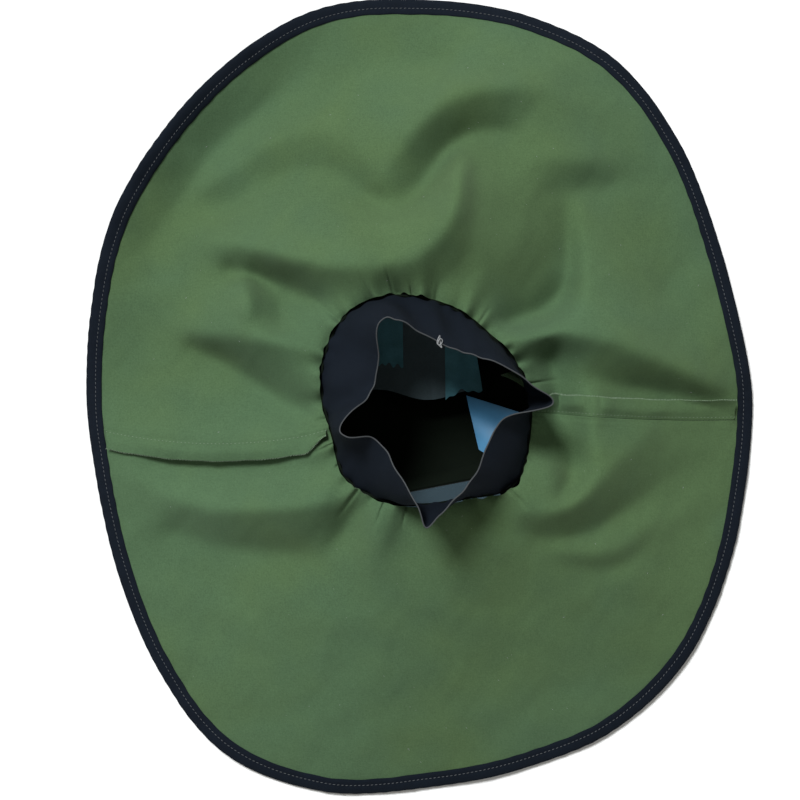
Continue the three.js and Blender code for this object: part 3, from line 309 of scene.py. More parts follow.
class HoodColours(bpy.types.PropertyGroup):
    """Colours of the hood's materials, as linear red, green and blue."""

    canvas: colour("Canvas", "Faded green cotton canvas", (0.068, 0.124, 0.063))
    # Painted shade: the head bag's green canvas is coloured near black, as its hollow looks in shade.
    bag: colour("Head bag", "Green canvas of the head bag, painted near black as the shade of its hollow", (0.0035, 0.006, 0.0035))
    tape: colour("Edge tape", "Navy tape on the rim", (0.0055, 0.0085, 0.0140))
    cuff: colour("Cuff", "Soft navy cloth of the cuff", (0.0058, 0.0088, 0.0142))
    pad: colour("Pad", "Grey-brown cloth of the nape pad", (0.06, 0.085, 0.095))
    teal: colour("Teal", "Thin teal lining cloth", (0.07, 0.19, 0.23))
    film: colour("Film", "Clear blue film", (0.055, 0.2, 0.36))
    thread: colour("Thread", "Grey-white sewing thread", (0.085, 0.093, 0.1))


class HoodStage(bpy.types.PropertyGroup):
    """Camera and light."""

    camera_height: length("Camera height", "Height of the camera above the floor", 2.0)
    key_strength: strength("Key light", "Strength of the large soft light", 3.9)
    ambient: strength("Ambient", "Strength of the even studio light", 0.34)
    lint_seed: IntProperty(name="Lint seed", description="Seed of the scattered lint", default=7)


def sizes():
    return bpy.context.scene.hood_sizes


def colours():
    return bpy.context.scene.hood_colours


def clamp01(value):
    return np.clip(value, 0.0, 1.0)


def smooth(value):
    value = clamp01(value)
    return value * value * (3 - 2 * value)


def mix(a, b, share):
    return a + (b - a) * share


def spline(before, start, end, after, share):
    bend = 2 * before - 5 * start + 4 * end - after
    twist = 3 * (start - end) + after - before
    return start + 0.5 * share * (end - before + share * (bend + share * twist))


def around(values, angle):
    """Value at an angle from equally spaced values all round."""
    values = np.asarray(values, float)
    count = len(values)
    place = (np.asarray(angle, float) / 360 * count) % count
    first = np.floor(place).astype(int)
    at = [values[(first + step) % count] for step in (-1, 0, 1, 2)]
    return spline(*at, place - first)


def rim_reach(angle):
    a = np.radians(angle)
    size = sizes()
    ellipse = 1 / np.hypot(np.cos(a) / (size.cape_width / 2), np.sin(a) / (size.cape_length / 2))
    return ellipse * around(RIM_SHARES, angle)


def neck_reach(angle):
    return sizes().neck_radius * around(NECK_SHARES, angle)


def plan_point(angle, distance):
    return distance * np.cos(np.radians(angle)), distance * np.sin(np.radians(angle))


def cape_plan(angle, reach):
    return plan_point(angle, mix(neck_reach(angle), rim_reach(angle), reach))


def lie_height(angle, reach):
    angle, reach = np.broadcast_arrays(np.asarray(angle, float), np.asarray(reach, float))
    heights = [around([row[i] for row in CAPE_LIE], angle) for i in range(5)]
    heights = [2 * heights[0] - heights[1], *heights, 2 * heights[4] - heights[3]]
    stack = np.stack(heights)
    place = clamp01(reach) * 4
    first = np.minimum(3, np.floor(place)).astype(int)
    at = [np.take_along_axis(stack, (first + step)[None], 0)[0] for step in range(4)]
    return sizes().neck_height * spline(*at, place - first)


def fold_places(points, step):
    """Places along a smooth curve through a fold line's points, a step apart."""
    points = np.asarray(points, float)
    padded = np.concatenate([points[:1], points, points[-1:]])
    share = np.linspace(0, 1, 24, endpoint=False)[:, None]
    runs = [spline(*padded[i : i + 4], share) for i in range(len(points) - 1)]
    curve = np.concatenate([*runs, points[-1:]])
    walked = np.concatenate([[0], np.cumsum(np.hypot(*np.diff(curve[:, :2], axis=0).T))])
    stops = np.linspace(0, walked[-1], max(2, int(walked[-1] / step)))
    return np.stack([np.interp(stops, walked, curve[:, i]) for i in range(3)], axis=1)


def grid_place(x, y):
    """Place of a point in the grid of the drawn sheet, in cells."""
    size = sizes()
    return (
        (x + SHEET_MARGIN * size.cape_width / 2) / SHEET_STEP,
        (y + SHEET_MARGIN * size.cape_length / 2) / SHEET_STEP,
    )


@functools.lru_cache(maxsize=1)
def drawn_sheet(width, length, radius, height):
    """Heights of a sheet that is drawn tight over the fold lines and held flat beyond the rim."""
    columns = round(SHEET_MARGIN * width / SHEET_STEP) + 1
    rows = round(SHEET_MARGIN * length / SHEET_STEP) + 1
    hold = np.zeros((rows, columns))
    pull = np.zeros((rows, columns))
    for points in FOLD_LINES.values():
        line = fold_places(np.array(points) * (radius, radius, height), SHEET_STEP * 0.375)
        column, row = grid_place(line[:, 0], line[:, 1])
        first_column, first_row = np.floor(column).astype(int), np.floor(row).astype(int)
        over, up = column - first_column, row - first_row
        for right, above in ((0, 0), (1, 0), (0, 1), (1, 1)):
            share = np.where(right, over, 1 - over) * np.where(above, up, 1 - up) * SHEET_HOLD
            cell = (first_row + above, first_column + right)
            np.add.at(hold, cell, share)
            np.add.at(pull, cell, share * line[:, 2])
    y, x = np.mgrid[0:rows, 0:columns] * SHEET_STEP
    x, y = x - SHEET_MARGIN * width / 2, y - SHEET_MARGIN * length / 2
    angle = np.degrees(np.arctan2(y, x))
    start = neck_reach(angle)
    beyond = (np.hypot(x, y) - start) / (rim_reach(angle) - start) > SHEET_END
    hold[beyond], pull[beyond] = 100, 0
    sheet = np.zeros((rows + 2, columns + 2))
    turns = [(np.add.outer(np.arange(rows), np.arange(columns)) % 2) == turn for turn in (0, 1)]
    for _ in range(SHEET_SWEEPS):
        for turn in turns:
            around_it = sheet[:-2, 1:-1] + sheet[2:, 1:-1] + sheet[1:-1, :-2] + sheet[1:-1, 2:]
            rest = (around_it + pull) / (4 + hold)
            inside = sheet[1:-1, 1:-1]
            inside[turn] += SHEET_PUSH * (rest - inside)[turn]
    reach = np.arange(-4, 5) * SHEET_STEP
    weights = np.exp(-(reach**2) / (2 * SHEET_SOFTNESS**2))
    weights /= weights.sum()
    sheet = sheet[1:-1, 1:-1]
    for axis in (0, 1):
        sheet = np.apply_along_axis(np.convolve, axis, sheet, weights, "same")
    return sheet


def fold_height(x, y):
    """What the folds add to the lie of the cape."""
    size = sizes()
    sheet = drawn_sheet(size.cape_width, size.cape_length, size.neck_radius, size.neck_height)
    column, row = grid_place(np.asarray(x, float), np.asarray(y, float))
    column, row = np.clip(column, 1, sheet.shape[1] - 2.01), np.clip(row, 1, sheet.shape[0] - 2.01)
    first_column, first_row = np.floor(column).astype(int), np.floor(row).astype(int)
    over, up = column - first_column, row - first_row
    steps = (-1, 0, 1, 2)
    lines = [spline(*(sheet[first_row + r, first_column + c] for c in steps), over) for r in steps]
    return spline(*lines, up)


def gather_height(angle, reach):
    a = np.radians(angle)
    fine = np.sin(a * 23 + 1.3 * np.sin(a * 5) + 0.8)
    finer = np.sin(a * 41 + 1.7 * np.sin(a * 3) + 0.3)
    broad = np.sin(a * 13 + 1.1 * np.sin(a * 3))
    reach = clamp01(reach)
    shape = fine * np.exp(-reach / 0.055) + broad * np.exp(-reach / 0.16)
    shape = shape + 0.5 * finer * np.exp(-reach / 0.03)
    return sizes().gather_depth / 2 * shape


def crease_height(angle, reach):
    """Sharp creases that run out of the gathers, each to its own length."""
    a = np.radians(angle)
    turn = a * 10 + 1.6 * np.sin(a * 3 + 0.5) + 0.7 * np.sin(a * 7)
    valley = np.exp(-((np.sin(turn) / 0.17) ** 2))
    run = 0.1 + 0.05 * np.sin(a * 6 + 1) + 0.04 * np.sin(a * 11)
    return -0.5 * sizes().gather_depth * valley * smooth(1 - np.abs(reach) / run)


def ripple_height(x, y):
    """Slight unevenness of worn canvas."""
    u, v = x * 2 * math.pi, y * 2 * math.pi
    slow = np.sin(u / 0.13 + 1.9 * np.sin(v / 0.21)) * np.sin(v / 0.11 + 1.3 * np.sin(u / 0.17) + 0.6)
    quick = np.sin(u / 0.047 + 1.4 * np.sin(v / 0.083) + 2) * np.sin(v / 0.053 + 1.7 * np.sin(u / 0.067))
    return 0.0011 * slow + 0.00035 * quick


def cape_height(x, y):
    """Upper face of the cape at places round the neck axis."""
    angle = np.degrees(np.arctan2(y, x))
    start = neck_reach(angle)
    reach = (np.hypot(x, y) - start) / (rim_reach(angle) - start)
    height = lie_height(angle, reach) + gather_height(angle, reach) + ripple_height(x, y)
    height = height + fold_height(x, y) + crease_height(angle, reach)
    lip = np.exp(-np.abs(np.minimum(reach, 1)) / 0.022) * 0.0035
    return height - lip


def neck_level(angle):
    """Level of the neck seam, evened out."""
    total = 0
    for step in (-18, -9, 0, 9, 18):
        x, y = cape_plan(angle + step, 0)
        total = total + lie_height(angle + step, 0) + fold_height(x, y)
    return total / 5


def binding_reach(angle):
    return 1 - sizes().binding_width / (rim_reach(angle) - neck_reach(angle))


def seam_angle(seam, reach):
    return mix(seam[0], seam[1], reach)


def grid_normals(points, wraps=False):
    """Unit normals of a grid of points, rows along the first axis."""
    down = np.gradient(points, axis=0)
    if wraps:
        wide = np.concatenate([points[:, -1:], points, points[:, :1]], axis=1)
        across = np.gradient(wide, axis=1)[:, 1:-1]
    else:
        across = np.gradient(points, axis=1)
    normal = np.cross(across, down)
    return normal / np.maximum(np.linalg.norm(normal, axis=2, keepdims=True), 1e-12)


def new_piece(name, vertices, faces, uvs):
    """Mesh object of points round the neck axis, in metres, with its faces turned outwards."""
    vertices = np.asarray(vertices, float).reshape(-1, 3) + (*NECK_AXIS, 0.0)
    mesh = bpy.data.meshes.new(name)
    mesh.from_pydata(vertices.tolist(), [], faces)
    if uvs is not None:
        layer = mesh.uv_layers.new(name="cloth")
        corners = np.zeros(len(mesh.loops), np.int32)
        mesh.loops.foreach_get("vertex_index", corners)
        layer.data.foreach_set("uv", np.asarray(uvs, np.float32).reshape(-1, 2)[corners].ravel())
    mesh.update()
    piece = bpy.data.objects.new(name, mesh)
    bpy.context.collection.objects.link(piece)
    face_out(piece)
    smooth_shading(piece)
    return finish_piece(piece)


def face_out(piece):
    """Turns a closed mesh's faces outwards."""
    mesh = piece.data
    mesh.calc_loop_triangles()
    corners = np.zeros(len(mesh.loop_triangles) * 3, np.int32)
    mesh.loop_triangles.foreach_get("vertices", corners)
    places = np.zeros(len(mesh.vertices) * 3)
    mesh.vertices.foreach_get("co", places)
    a, b, c = np.moveaxis(places.reshape(-1, 3)[corners.reshape(-1, 3)], 1, 0)
    if np.einsum("ij,ij->i", a, np.cross(b, c)).sum() < 0:
        mesh.flip_normals()


def smooth_shading(piece, angle=0.9):
    piece.data.polygons.foreach_set("use_smooth", [True] * len(piece.data.polygons))
    piece.data.set_sharp_from_angle(angle=angle)


def finish_piece(piece):
    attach(piece, "root")
    return piece


def set_material(piece, material):
    piece.data.materials.clear()
    piece.data.materials.append(material)
    return piece


def shell_faces(rows, columns, wraps=False, foot=True):
    """Faces of a shell made of a front grid and a back grid, closed at the last row where foot is set."""
    faces = []
    spans = columns if wraps else columns - 1
    back = rows * columns
    at = lambda side, r, c: side * back + r * columns + c % columns
    for r in range(rows - 1):
        for c in range(spans):
            faces.append((at(0, r, c), at(0, r + 1, c), at(0, r + 1, c + 1), at(0, r, c + 1)))
            faces.append((at(1, r, c), at(1, r, c + 1), at(1, r + 1, c + 1), at(1, r + 1, c)))
    last = rows - 1
    for c in range(spans):
        faces.append((at(0, 0, c), at(0, 0, c + 1), at(1, 0, c + 1), at(1, 0, c)))
        if foot:
            faces.append((at(0, last, c + 1), at(0, last, c), at(1, last, c), at(1, last, c + 1)))
    if not wraps:
        end = columns - 1
        for r in range(last):
            faces.append((at(0, r + 1, 0), at(0, r, 0), at(1, r, 0), at(1, r + 1, 0)))
            faces.append((at(0, r, end), at(0, r + 1, end), at(1, r + 1, end), at(1, r, end)))
    return faces


def cloth_piece(name, front, thickness, uvs, wraps=False, centred=False, lying=False):
    """Closed sheet of cloth from its front grid of points (on top where it is lying) or from its middle."""
    front = np.asarray(front, float)
    normals = grid_normals(front, wraps)
    if lying:
        normals *= np.sign(normals[:, :, 2:3])
    if centred:
        front = front + normals * (thickness / 2)
    back = front - normals * thickness
    rows, columns = front.shape[:2]
    vertices = np.concatenate([front.reshape(-1, 3), back.reshape(-1, 3)])
    uvs = np.concatenate([np.asarray(uvs).reshape(-1, 2)] * 2)
    return new_piece(name, vertices, shell_faces(rows, columns, wraps), uvs)


def tube_piece(name, centre, radius, sides=6, closed=False):
    """Round tube along points, with flat caps on its ends where it is open."""
    centre = np.asarray(centre, float)
    if closed:
        tangent = np.roll(centre, -1, 0) - np.roll(centre, 1, 0)
    else:
        tangent = np.gradient(centre, axis=0)
    tangent /= np.linalg.norm(tangent, axis=1, keepdims=True)
    side = np.cross(tangent, (0.2, 0.1, 1.0))
    side /= np.linalg.norm(side, axis=1, keepdims=True)
    other = np.cross(tangent, side)
    turn = np.linspace(0, 2 * math.pi, sides, endpoint=False)
    rings = (
        centre[:, None]
        + radius * np.cos(turn)[None, :, None] * side[:, None]
        + radius * np.sin(turn)[None, :, None] * other[:, None]
    )
    count = len(centre)
    vertices = rings.reshape(-1, 3)
    faces = []
    for s in range(count if closed else count - 1):
        n = (s + 1) % count
        for p in range(sides):
            q = (p + 1) % sides
            faces.append((s * sides + p, n * sides + p, n * sides + q, s * sides + q))
    if not closed:
        faces.append(tuple(range(sides)))
        faces.append(tuple(reversed(range((count - 1) * sides, count * sides))))
    return new_piece(name, vertices, faces, None)


class NodeTree:
    """Short way to add and join nodes."""

    def __init__(self, tree):
        self.tree = tree

    def add(self, kind, inputs=None, **settings):
        node = self.tree.nodes.new(kind)
        for name, value in settings.items():
            setattr(node, name, value)
        for name, value in (inputs or {}).items():
            socket = node.inputs[name]
            if isinstance(value, bpy.types.NodeSocket):
                self.link(value, socket)
            else:
                socket.default_value = value
        return node

    def link(self, source, target):
        self.tree.links.new(source, target)

    def math(self, operation, a, b=0.0, c=0.0):
        return self.add("ShaderNodeMath", {0: a, 1: b, 2: c}, operation=operation).outputs[0]

    def vector(self, operation, a, b):
        other = "Scale" if operation == "SCALE" else 1
        return self.add("ShaderNodeVectorMath", {0: a, other: b}, operation=operation).outputs[0]

    def noise(self, place, scale, detail, roughness=0.5):
        inputs = {"Vector": place, "Scale": scale, "Detail": detail, "Roughness": roughness}
        return self.add("ShaderNodeTexNoise", inputs).outputs[0]

    def mapped(self, value, low, high, start=0.0, end=1.0):
        """value with its range from start to end brought to low and high."""
        return self.add("ShaderNodeMapRange", {0: value, 1: start, 2: end, 3: low, 4: high}).outputs[0]

    def random(self, low, high, seed):
        node = self.add("FunctionNodeRandomValue", {"Min": low, "Max": high, "Seed": seed})
        return next(s for s in node.outputs if s.enabled)

    def object_place(self):
        return self.add("ShaderNodeTexCoord").outputs["Object"]


def new_group(name, kind, inputs, outputs):
    group = bpy.data.node_groups.new(name, kind)
    for socket_name, socket_type, default in inputs:
        socket = group.interface.new_socket(socket_name, in_out="INPUT", socket_type=socket_type)
        if default is not None:
            socket.default_value = default
    for socket_name, socket_type in outputs:
        group.interface.new_socket(socket_name, in_out="OUTPUT", socket_type=socket_type)
    tree = NodeTree(group)
    return group, tree, tree.add("NodeGroupInput").outputs, tree.add("NodeGroupOutput").inputs


def end_tree(tree, instances, material, made):
    """Makes a tree's instances real, gives them their material and puts them out."""
    real = tree.add("GeometryNodeRealizeInstances", {"Geometry": instances})
    coloured = tree.add("GeometryNodeSetMaterial", {"Geometry": real.outputs[0], "Material": material})
    tree.link(coloured.outputs[0], made)


def stitch_tree():
    """Geometry nodes: stitches of a given pitch, length and lean along a line."""
    group, tree, given, made = new_group(
        "Stitch row",
        "GeometryNodeTree",
        (
            ("Line", "NodeSocketGeometry", None),
            ("Pitch", "NodeSocketFloat", 0.004),
            ("Stitch length", "NodeSocketFloat", 0.003),
            ("Thread radius", "NodeSocketFloat", 0.0003),
            ("Lean", "NodeSocketFloat", 0.0),
            ("Unevenness", "NodeSocketFloat", 0.1),
            ("Seed", "NodeSocketInt", 1),
            ("Material", "NodeSocketMaterial", None),
        ),
        (("Stitches", "NodeSocketGeometry"),),
    )
    curve = tree.add("GeometryNodeMeshToCurve", {"Mesh": given["Line"]})
    spaced = tree.add("GeometryNodeResampleCurve", {"Curve": curve.outputs[0]}, mode="LENGTH")
    tree.link(given["Pitch"], spaced.inputs["Length"])
    ball = tree.add("GeometryNodeMeshUVSphere", {"Segments": 6, "Rings": 5, "Radius": 0.5})
    across = tree.math("MULTIPLY", given["Thread radius"], 2.0)
    scale = tree.add("ShaderNodeCombineXYZ", {"X": given["Stitch length"], "Y": across, "Z": across})
    stitch = tree.add("GeometryNodeTransform", {"Geometry": ball.outputs["Mesh"], "Scale": scale.outputs[0]})
    tangent = tree.add("GeometryNodeInputTangent")
    along = tree.add("FunctionNodeAlignRotationToVector", {"Vector": tangent.outputs[0]}, axis="X")
    up = tree.add("GeometryNodeInputNamedAttribute", {"Name": "face_normal"}, data_type="FLOAT_VECTOR")
    upright = tree.add(
        "FunctionNodeAlignRotationToVector",
        {"Rotation": along.outputs[0], "Vector": up.outputs[0]},
        axis="Z",
        pivot_axis="X",
    )
    placed = tree.add(
        "GeometryNodeInstanceOnPoints",
        {"Points": spaced.outputs[0], "Instance": stitch.outputs[0], "Rotation": upright.outputs[0]},
    )
    low = tree.math("MULTIPLY", given["Unevenness"], -1.0)
    jitter = tree.random(low, given["Unevenness"], given["Seed"])
    lean = tree.math("ADD", given["Lean"], jitter)
    turn = tree.add("ShaderNodeCombineXYZ", {"Z": lean})
    turned = tree.add(
        "GeometryNodeRotateInstances", {"Instances": placed.outputs[0], "Rotation": turn.outputs[0]}
    )
    end_tree(tree, turned.outputs[0], given["Material"], made["Stitches"])
    return group


def lint_tree():
    """Geometry nodes: short fibres scattered over the upward faces of a sheet."""
    group, tree, given, made = new_group(
        "Lint",
        "GeometryNodeTree",
        (
            ("Cloth", "NodeSocketGeometry", None),
            ("Density", "NodeSocketFloat", 300.0),
            ("Fibre length", "NodeSocketFloat", 0.002),
            ("Fibre radius", "NodeSocketFloat", 0.0002),
            ("Seed", "NodeSocketInt", 1),
            ("Material", "NodeSocketMaterial", None),
        ),
        (("Fibres", "NodeSocketGeometry"),),
    )
    normal = tree.add("GeometryNodeInputNormal")
    split = tree.add("ShaderNodeSeparateXYZ", {0: normal.outputs[0]})
    facing_up = tree.math("GREATER_THAN", split.outputs[2], 0.3)
    points = tree.add(
        "GeometryNodeDistributePointsOnFaces",
        {"Mesh": given["Cloth"], "Selection": facing_up, "Density": given["Density"], "Seed": given["Seed"]},
    )
    ball = tree.add("GeometryNodeMeshUVSphere", {"Segments": 5, "Rings": 3, "Radius": 0.5})
    across = tree.math("MULTIPLY", given["Fibre radius"], 2.0)
    scale = tree.add("ShaderNodeCombineXYZ", {"X": given["Fibre length"], "Y": across, "Z": across})
    fibre = tree.add("GeometryNodeTransform", {"Geometry": ball.outputs["Mesh"], "Scale": scale.outputs[0]})
    spin = tree.add("ShaderNodeCombineXYZ", {"Z": tree.random(0.0, math.pi, given["Seed"])})
    grow = tree.random(0.35, 1.0, given["Seed"])
    placed = tree.add(
        "GeometryNodeInstanceOnPoints",
        {
            "Points": points.outputs["Points"],
            "Instance": fibre.outputs[0],
            "Rotation": points.outputs["Rotation"],
            "Scale": grow,
        },
    )
    turned = tree.add(
        "GeometryNodeRotateInstances", {"Instances": placed.outputs[0], "Rotation": spin.outputs[0]}
    )
    end_tree(tree, turned.outputs[0], given["Material"], made["Fibres"])
    return group


def shared(name, make):
    """A node tree or material by name, made the first time."""
    return bpy.data.node_groups.get(name) or bpy.data.materials.get(name) or make()


def grown(name, source, tree, inputs):
    """Piece that a node tree grows on source's mesh. source is used up."""
    modifier = source.modifiers.new("grow", "NODES")
    modifier.node_group = tree
    for item in tree.interface.items_tree:
        if item.in_out == "INPUT" and item.name in inputs:
            modifier[item.identifier] = inputs[item.name]
    depsgraph = bpy.context.evaluated_depsgraph_get()
    mesh = bpy.data.meshes.new_from_object(source.evaluated_get(depsgraph), depsgraph=depsgraph)
    mesh.name = name
    piece = bpy.data.objects.new(name, mesh)
    bpy.context.collection.objects.link(piece)
    bpy.data.objects.remove(source)
    mesh.polygons.foreach_set("use_smooth", [True] * len(mesh.polygons))
    return finish_piece(piece)


def line_object(points, normals, closed=False):
    """Line of edges that carries the normals of the cloth under it."""
    points = np.asarray(points, float) + (*NECK_AXIS, 0.0)
    count = len(points)
    edges = [(i, (i + 1) % count) for i in range(count if closed else count - 1)]
    mesh = bpy.data.meshes.new("line")
    mesh.from_pydata(points.tolist(), edges, [])
    layer = mesh.attributes.new("face_normal", "FLOAT_VECTOR", "POINT")
    layer.data.foreach_set("vector", np.asarray(normals, np.float32).ravel())
    line = bpy.data.objects.new("line", mesh)
    bpy.context.collection.objects.link(line)
    return line


def stitches(name, points, normals, slot, closed=False, material=None, **changed):
    size = sizes()
    inputs = {
        "Pitch": size.stitch_pitch,
        "Stitch length": size.stitch_length,
        "Thread radius": size.thread_radius,
        "Lean": 0.0,
        "Unevenness": 0.12,
        "Seed": 3,
        "Material": material or thread(),
    }
    inputs.update({key.replace("_", " ").capitalize(): value for key, value in changed.items()})
    line = line_object(points, normals, closed)
    return grown(name, line, shared("Stitch row", stitch_tree), inputs)


def weave_group():
    """Plain weave with slubs: height of the threads and a shade that varies from thread to thread."""
    group, tree, given, made = new_group(
        "Plain weave",
        "ShaderNodeTree",
        (
            ("Vector", "NodeSocketVector", None),
            ("Thread pitch", "NodeSocketFloat", 0.0008),
            ("Slub strength", "NodeSocketFloat", 0.5),
        ),
        (("Height", "NodeSocketFloat"), ("Shade", "NodeSocketFloat")),
    )
    per_metre = tree.math("DIVIDE", 1.0, given["Thread pitch"])
    scaled = tree.vector("SCALE", given["Vector"], per_metre)
    split = tree.add("ShaderNodeSeparateXYZ", {0: scaled})
    warp = tree.math("SINE", tree.math("MULTIPLY", split.outputs[0], 2 * math.pi))
    weft = tree.math("SINE", tree.math("MULTIPLY", split.outputs[1], 2 * math.pi))
    threads = tree.math("MULTIPLY_ADD", warp, tree.math("MULTIPLY", weft, 0.5), 0.5)
    slubs = []
    for stretch in ((0.6, 0.12, 1.0), (0.12, 0.6, 1.0)):
        slubs.append(tree.noise(tree.vector("MULTIPLY", scaled, stretch), 1.0, 2.0))
    slub = tree.math("MULTIPLY", tree.math("ADD", *slubs), 0.5)
    even = tree.math("MULTIPLY", threads, 0.55)
    height = tree.math("ADD", even, tree.math("MULTIPLY", slub, given["Slub strength"]))
    shade = tree.math("MULTIPLY_ADD", tree.math("SUBTRACT", slub, 0.5), given["Slub strength"], 1.0)
    tree.link(height, made["Height"])
    tree.link(shade, made["Shade"])
    return group


def wear_group():
    """Faded and dusty cloth: a colour that drifts over the surface, with paler fuzz in small patches."""
    group, tree, given, made = new_group(
        "Handled cloth",
        "ShaderNodeTree",
        (
            ("Colour", "NodeSocketColor", (0.5, 0.5, 0.5, 1)),
            ("Shade", "NodeSocketFloat", 1.0),
            ("Fading", "NodeSocketFloat", 0.2),
            ("Dust", "NodeSocketFloat", 0.1),
            ("Patch size", "NodeSocketFloat", 0.06),
            ("Yellowing", "NodeSocketFloat", 0.0),
        ),
        (("Colour", "NodeSocketColor"), ("Roughness", "NodeSocketFloat"), ("Relief", "NodeSocketFloat")),
    )
    place = tree.object_place()
    frequency = tree.math("DIVIDE", 1.0, given["Patch size"])
    patches = tree.noise(place, frequency, 4.0, 0.6)
    fine = tree.noise(place, 650.0, 3.0, 0.7)
    uneven = tree.math("SUBTRACT", patches, 0.5)
    drift = tree.math("MULTIPLY_ADD", uneven, given["Fading"], given["Shade"])
    grain = tree.math("MULTIPLY_ADD", tree.math("SUBTRACT", fine, 0.5), given["Dust"], drift)
    broad = tree.noise(place, 5.0, 3.0, 0.6)
    yellowed = tree.mapped(broad, 0.0, 1.0, 0.4, 0.62)
    share = tree.math("MULTIPLY", yellowed, given["Yellowing"])
    kept = tree.vector("ADD", tree.vector("SCALE", (0.04, -0.06, -0.3), share), (1, 1, 1))
    dyed = tree.vector("MULTIPLY", given["Colour"], kept)
    tree.link(tree.vector("SCALE", dyed, grain), made["Colour"])
    tree.link(tree.math("MULTIPLY_ADD", patches, 0.12, 0.82), made["Roughness"])
    tree.link(fine, made["Relief"])
    return group


def new_material(name):
    """Material, its node tree and its shader."""
    material = bpy.data.materials.new(name)
    material.use_nodes = True
    return material, NodeTree(material.node_tree), material.node_tree.nodes["Principled BSDF"]


def make_cloth(name):
    """Woven cloth: thread relief, slubs, fading and dust, on the piece's own cloth map."""
    colour_name, pitch, slub, fading, dust, patch, relief, sheen, yellowing = CLOTHS[name]
    material, tree, shader = new_material(name)
    cloth_map = tree.add("ShaderNodeUVMap", uv_map="cloth")
    weave = tree.add("ShaderNodeGroup", node_tree=shared("Plain weave", weave_group))
    tree.link(cloth_map.outputs[0], weave.inputs["Vector"])
    weave.inputs["Thread pitch"].default_value = pitch
    weave.inputs["Slub strength"].default_value = slub
    wear = tree.add("ShaderNodeGroup", node_tree=shared("Handled cloth", wear_group))
    wear.inputs["Colour"].default_value = (*getattr(colours(), colour_name), 1)
    tree.link(weave.outputs["Shade"], wear.inputs["Shade"])
    wear.inputs["Fading"].default_value = fading
    wear.inputs["Dust"].default_value = dust
    wear.inputs["Patch size"].default_value = patch
    wear.inputs["Yellowing"].default_value = yellowing
    height = tree.math("MULTIPLY_ADD", wear.outputs["Relief"], 0.6, weave.outputs["Height"])
    bump = tree.add("ShaderNodeBump", {"Strength": 1.0, "Distance": relief, "Height": height})
    tree.link(wear.outputs["Colour"], shader.inputs["Base Color"])
    tree.link(wear.outputs["Roughness"], shader.inputs["Roughness"])
    tree.link(bump.outputs[0], shader.inputs["Normal"])
    shader.inputs["Specular IOR Level"].default_value = 0.08
    shader.inputs["Sheen Weight"].default_value = sheen
    shader.inputs["Sheen Roughness"].default_value = 0.5
    return material


def make_thread(name):
    """Twisted thread, in its colour from the table or the grey one."""
    material, tree, shader = new_material(name)
    plies = tree.add(
        "ShaderNodeTexWave", {"Vector": tree.object_place(), "Scale": 900.0, "Distortion": 2.0}
    ).outputs[1]
    tint = tree.vector("SCALE", tuple(THREADS.get(name, colours().thread)), tree.mapped(plies, 0.75, 1.15))
    bump = tree.add("ShaderNodeBump", {"Strength": 0.5, "Distance": 0.0001, "Height": plies})
    tree.link(tint, shader.inputs["Base Color"])
    tree.link(bump.outputs[0], shader.inputs["Normal"])
    shader.inputs["Roughness"].default_value = 0.7
    return material


def make_film(name):
    """Thin clear film, a little hazy."""
    material, tree, shader = new_material(name)
    haze = tree.noise(tree.object_place(), 60.0, 3.0)
    tint = tree.vector("SCALE", tuple(colours().film), tree.mapped(haze, 0.7, 1.25))
    tree.link(tint, shader.inputs["Base Color"])
    tree.link(tree.mapped(haze, 0.45, 0.7), shader.inputs["Roughness"])
    shader.inputs["Alpha"].default_value = 0.9
    return material


def make_plastic(name):
    """Black moulded plastic, finely grained and scuffed."""
    material, tree, shader = new_material(name)
    place = tree.object_place()
    grain = tree.noise(place, 700.0, 2.0)
    scuffs = tree.noise(place, 35.0, 5.0)
    tint = tree.vector("SCALE", (0.011, 0.012, 0.013), tree.mapped(scuffs, 0.8, 1.6, 0.4, 0.75))
    bump = tree.add("ShaderNodeBump", {"Strength": 0.4, "Distance": 0.0002, "Height": grain})
    tree.link(tint, shader.inputs["Base Color"])
    tree.link(tree.mapped(scuffs, 0.35, 0.65), shader.inputs["Roughness"])
    tree.link(bump.outputs[0], shader.inputs["Normal"])
    return material


def make_pane(name):
    """Clear pane, frosted in patches by grit."""
    material, tree, shader = new_material(name)
    frost = tree.noise(tree.object_place(), 45.0, 6.0, 0.7)
    tree.link(tree.mapped(frost, 0.06, 0.3), shader.inputs["Roughness"])
    shader.inputs["Base Color"].default_value = (0.09, 0.14, 0.17, 1)
    shader.inputs["IOR"].default_value = 1.49
    shader.inputs["Transmission Weight"].default_value = 0.55
    return material


def cloth(name):
    return shared(name, lambda: make_cloth(name))


def thread(name="Grey thread"):
    return shared(name, lambda: make_thread(name))


def half_grid(seam_from, seam_to, columns, rows):
    """Angles and reaches of a half cape's grid between two seams."""
    share = np.linspace(0, 1, columns)[None, :]
    row = np.linspace(0, 1, rows)[:, None]
    reach = mix(row, row * row, 0.35)
    end_turn = 360 if seam_to[0] < seam_from[0] else 0
    start = seam_angle(seam_from, reach)
    end = seam_angle(seam_to, reach) + end_turn
    angle = mix(start, end, share)
    distance = mix(neck_reach(angle), rim_reach(angle), reach)
    inset = np.degrees(SEAM_GAP / distance)
    angle = mix(start + inset, end - inset, share)
    reach = np.broadcast_to(reach, angle.shape) * mix(1, binding_reach(angle), 0.5)
    return angle, reach, distance, share


def ragged(angle):
    """Uneven edge of the gathered neck seam, as a share of the cape's reach."""
    a = np.radians(angle)
    calm = 0.55 + 0.45 * np.sin(a * 5 + 1.2 * np.sin(a * 3))
    broad = 0.0035 * np.sin(a * 26 + 2.6 * np.sin(a * 7))
    fine = 0.002 * np.sin(a * 53 + 2.2 * np.sin(a * 11))
    return calm * (broad + fine)


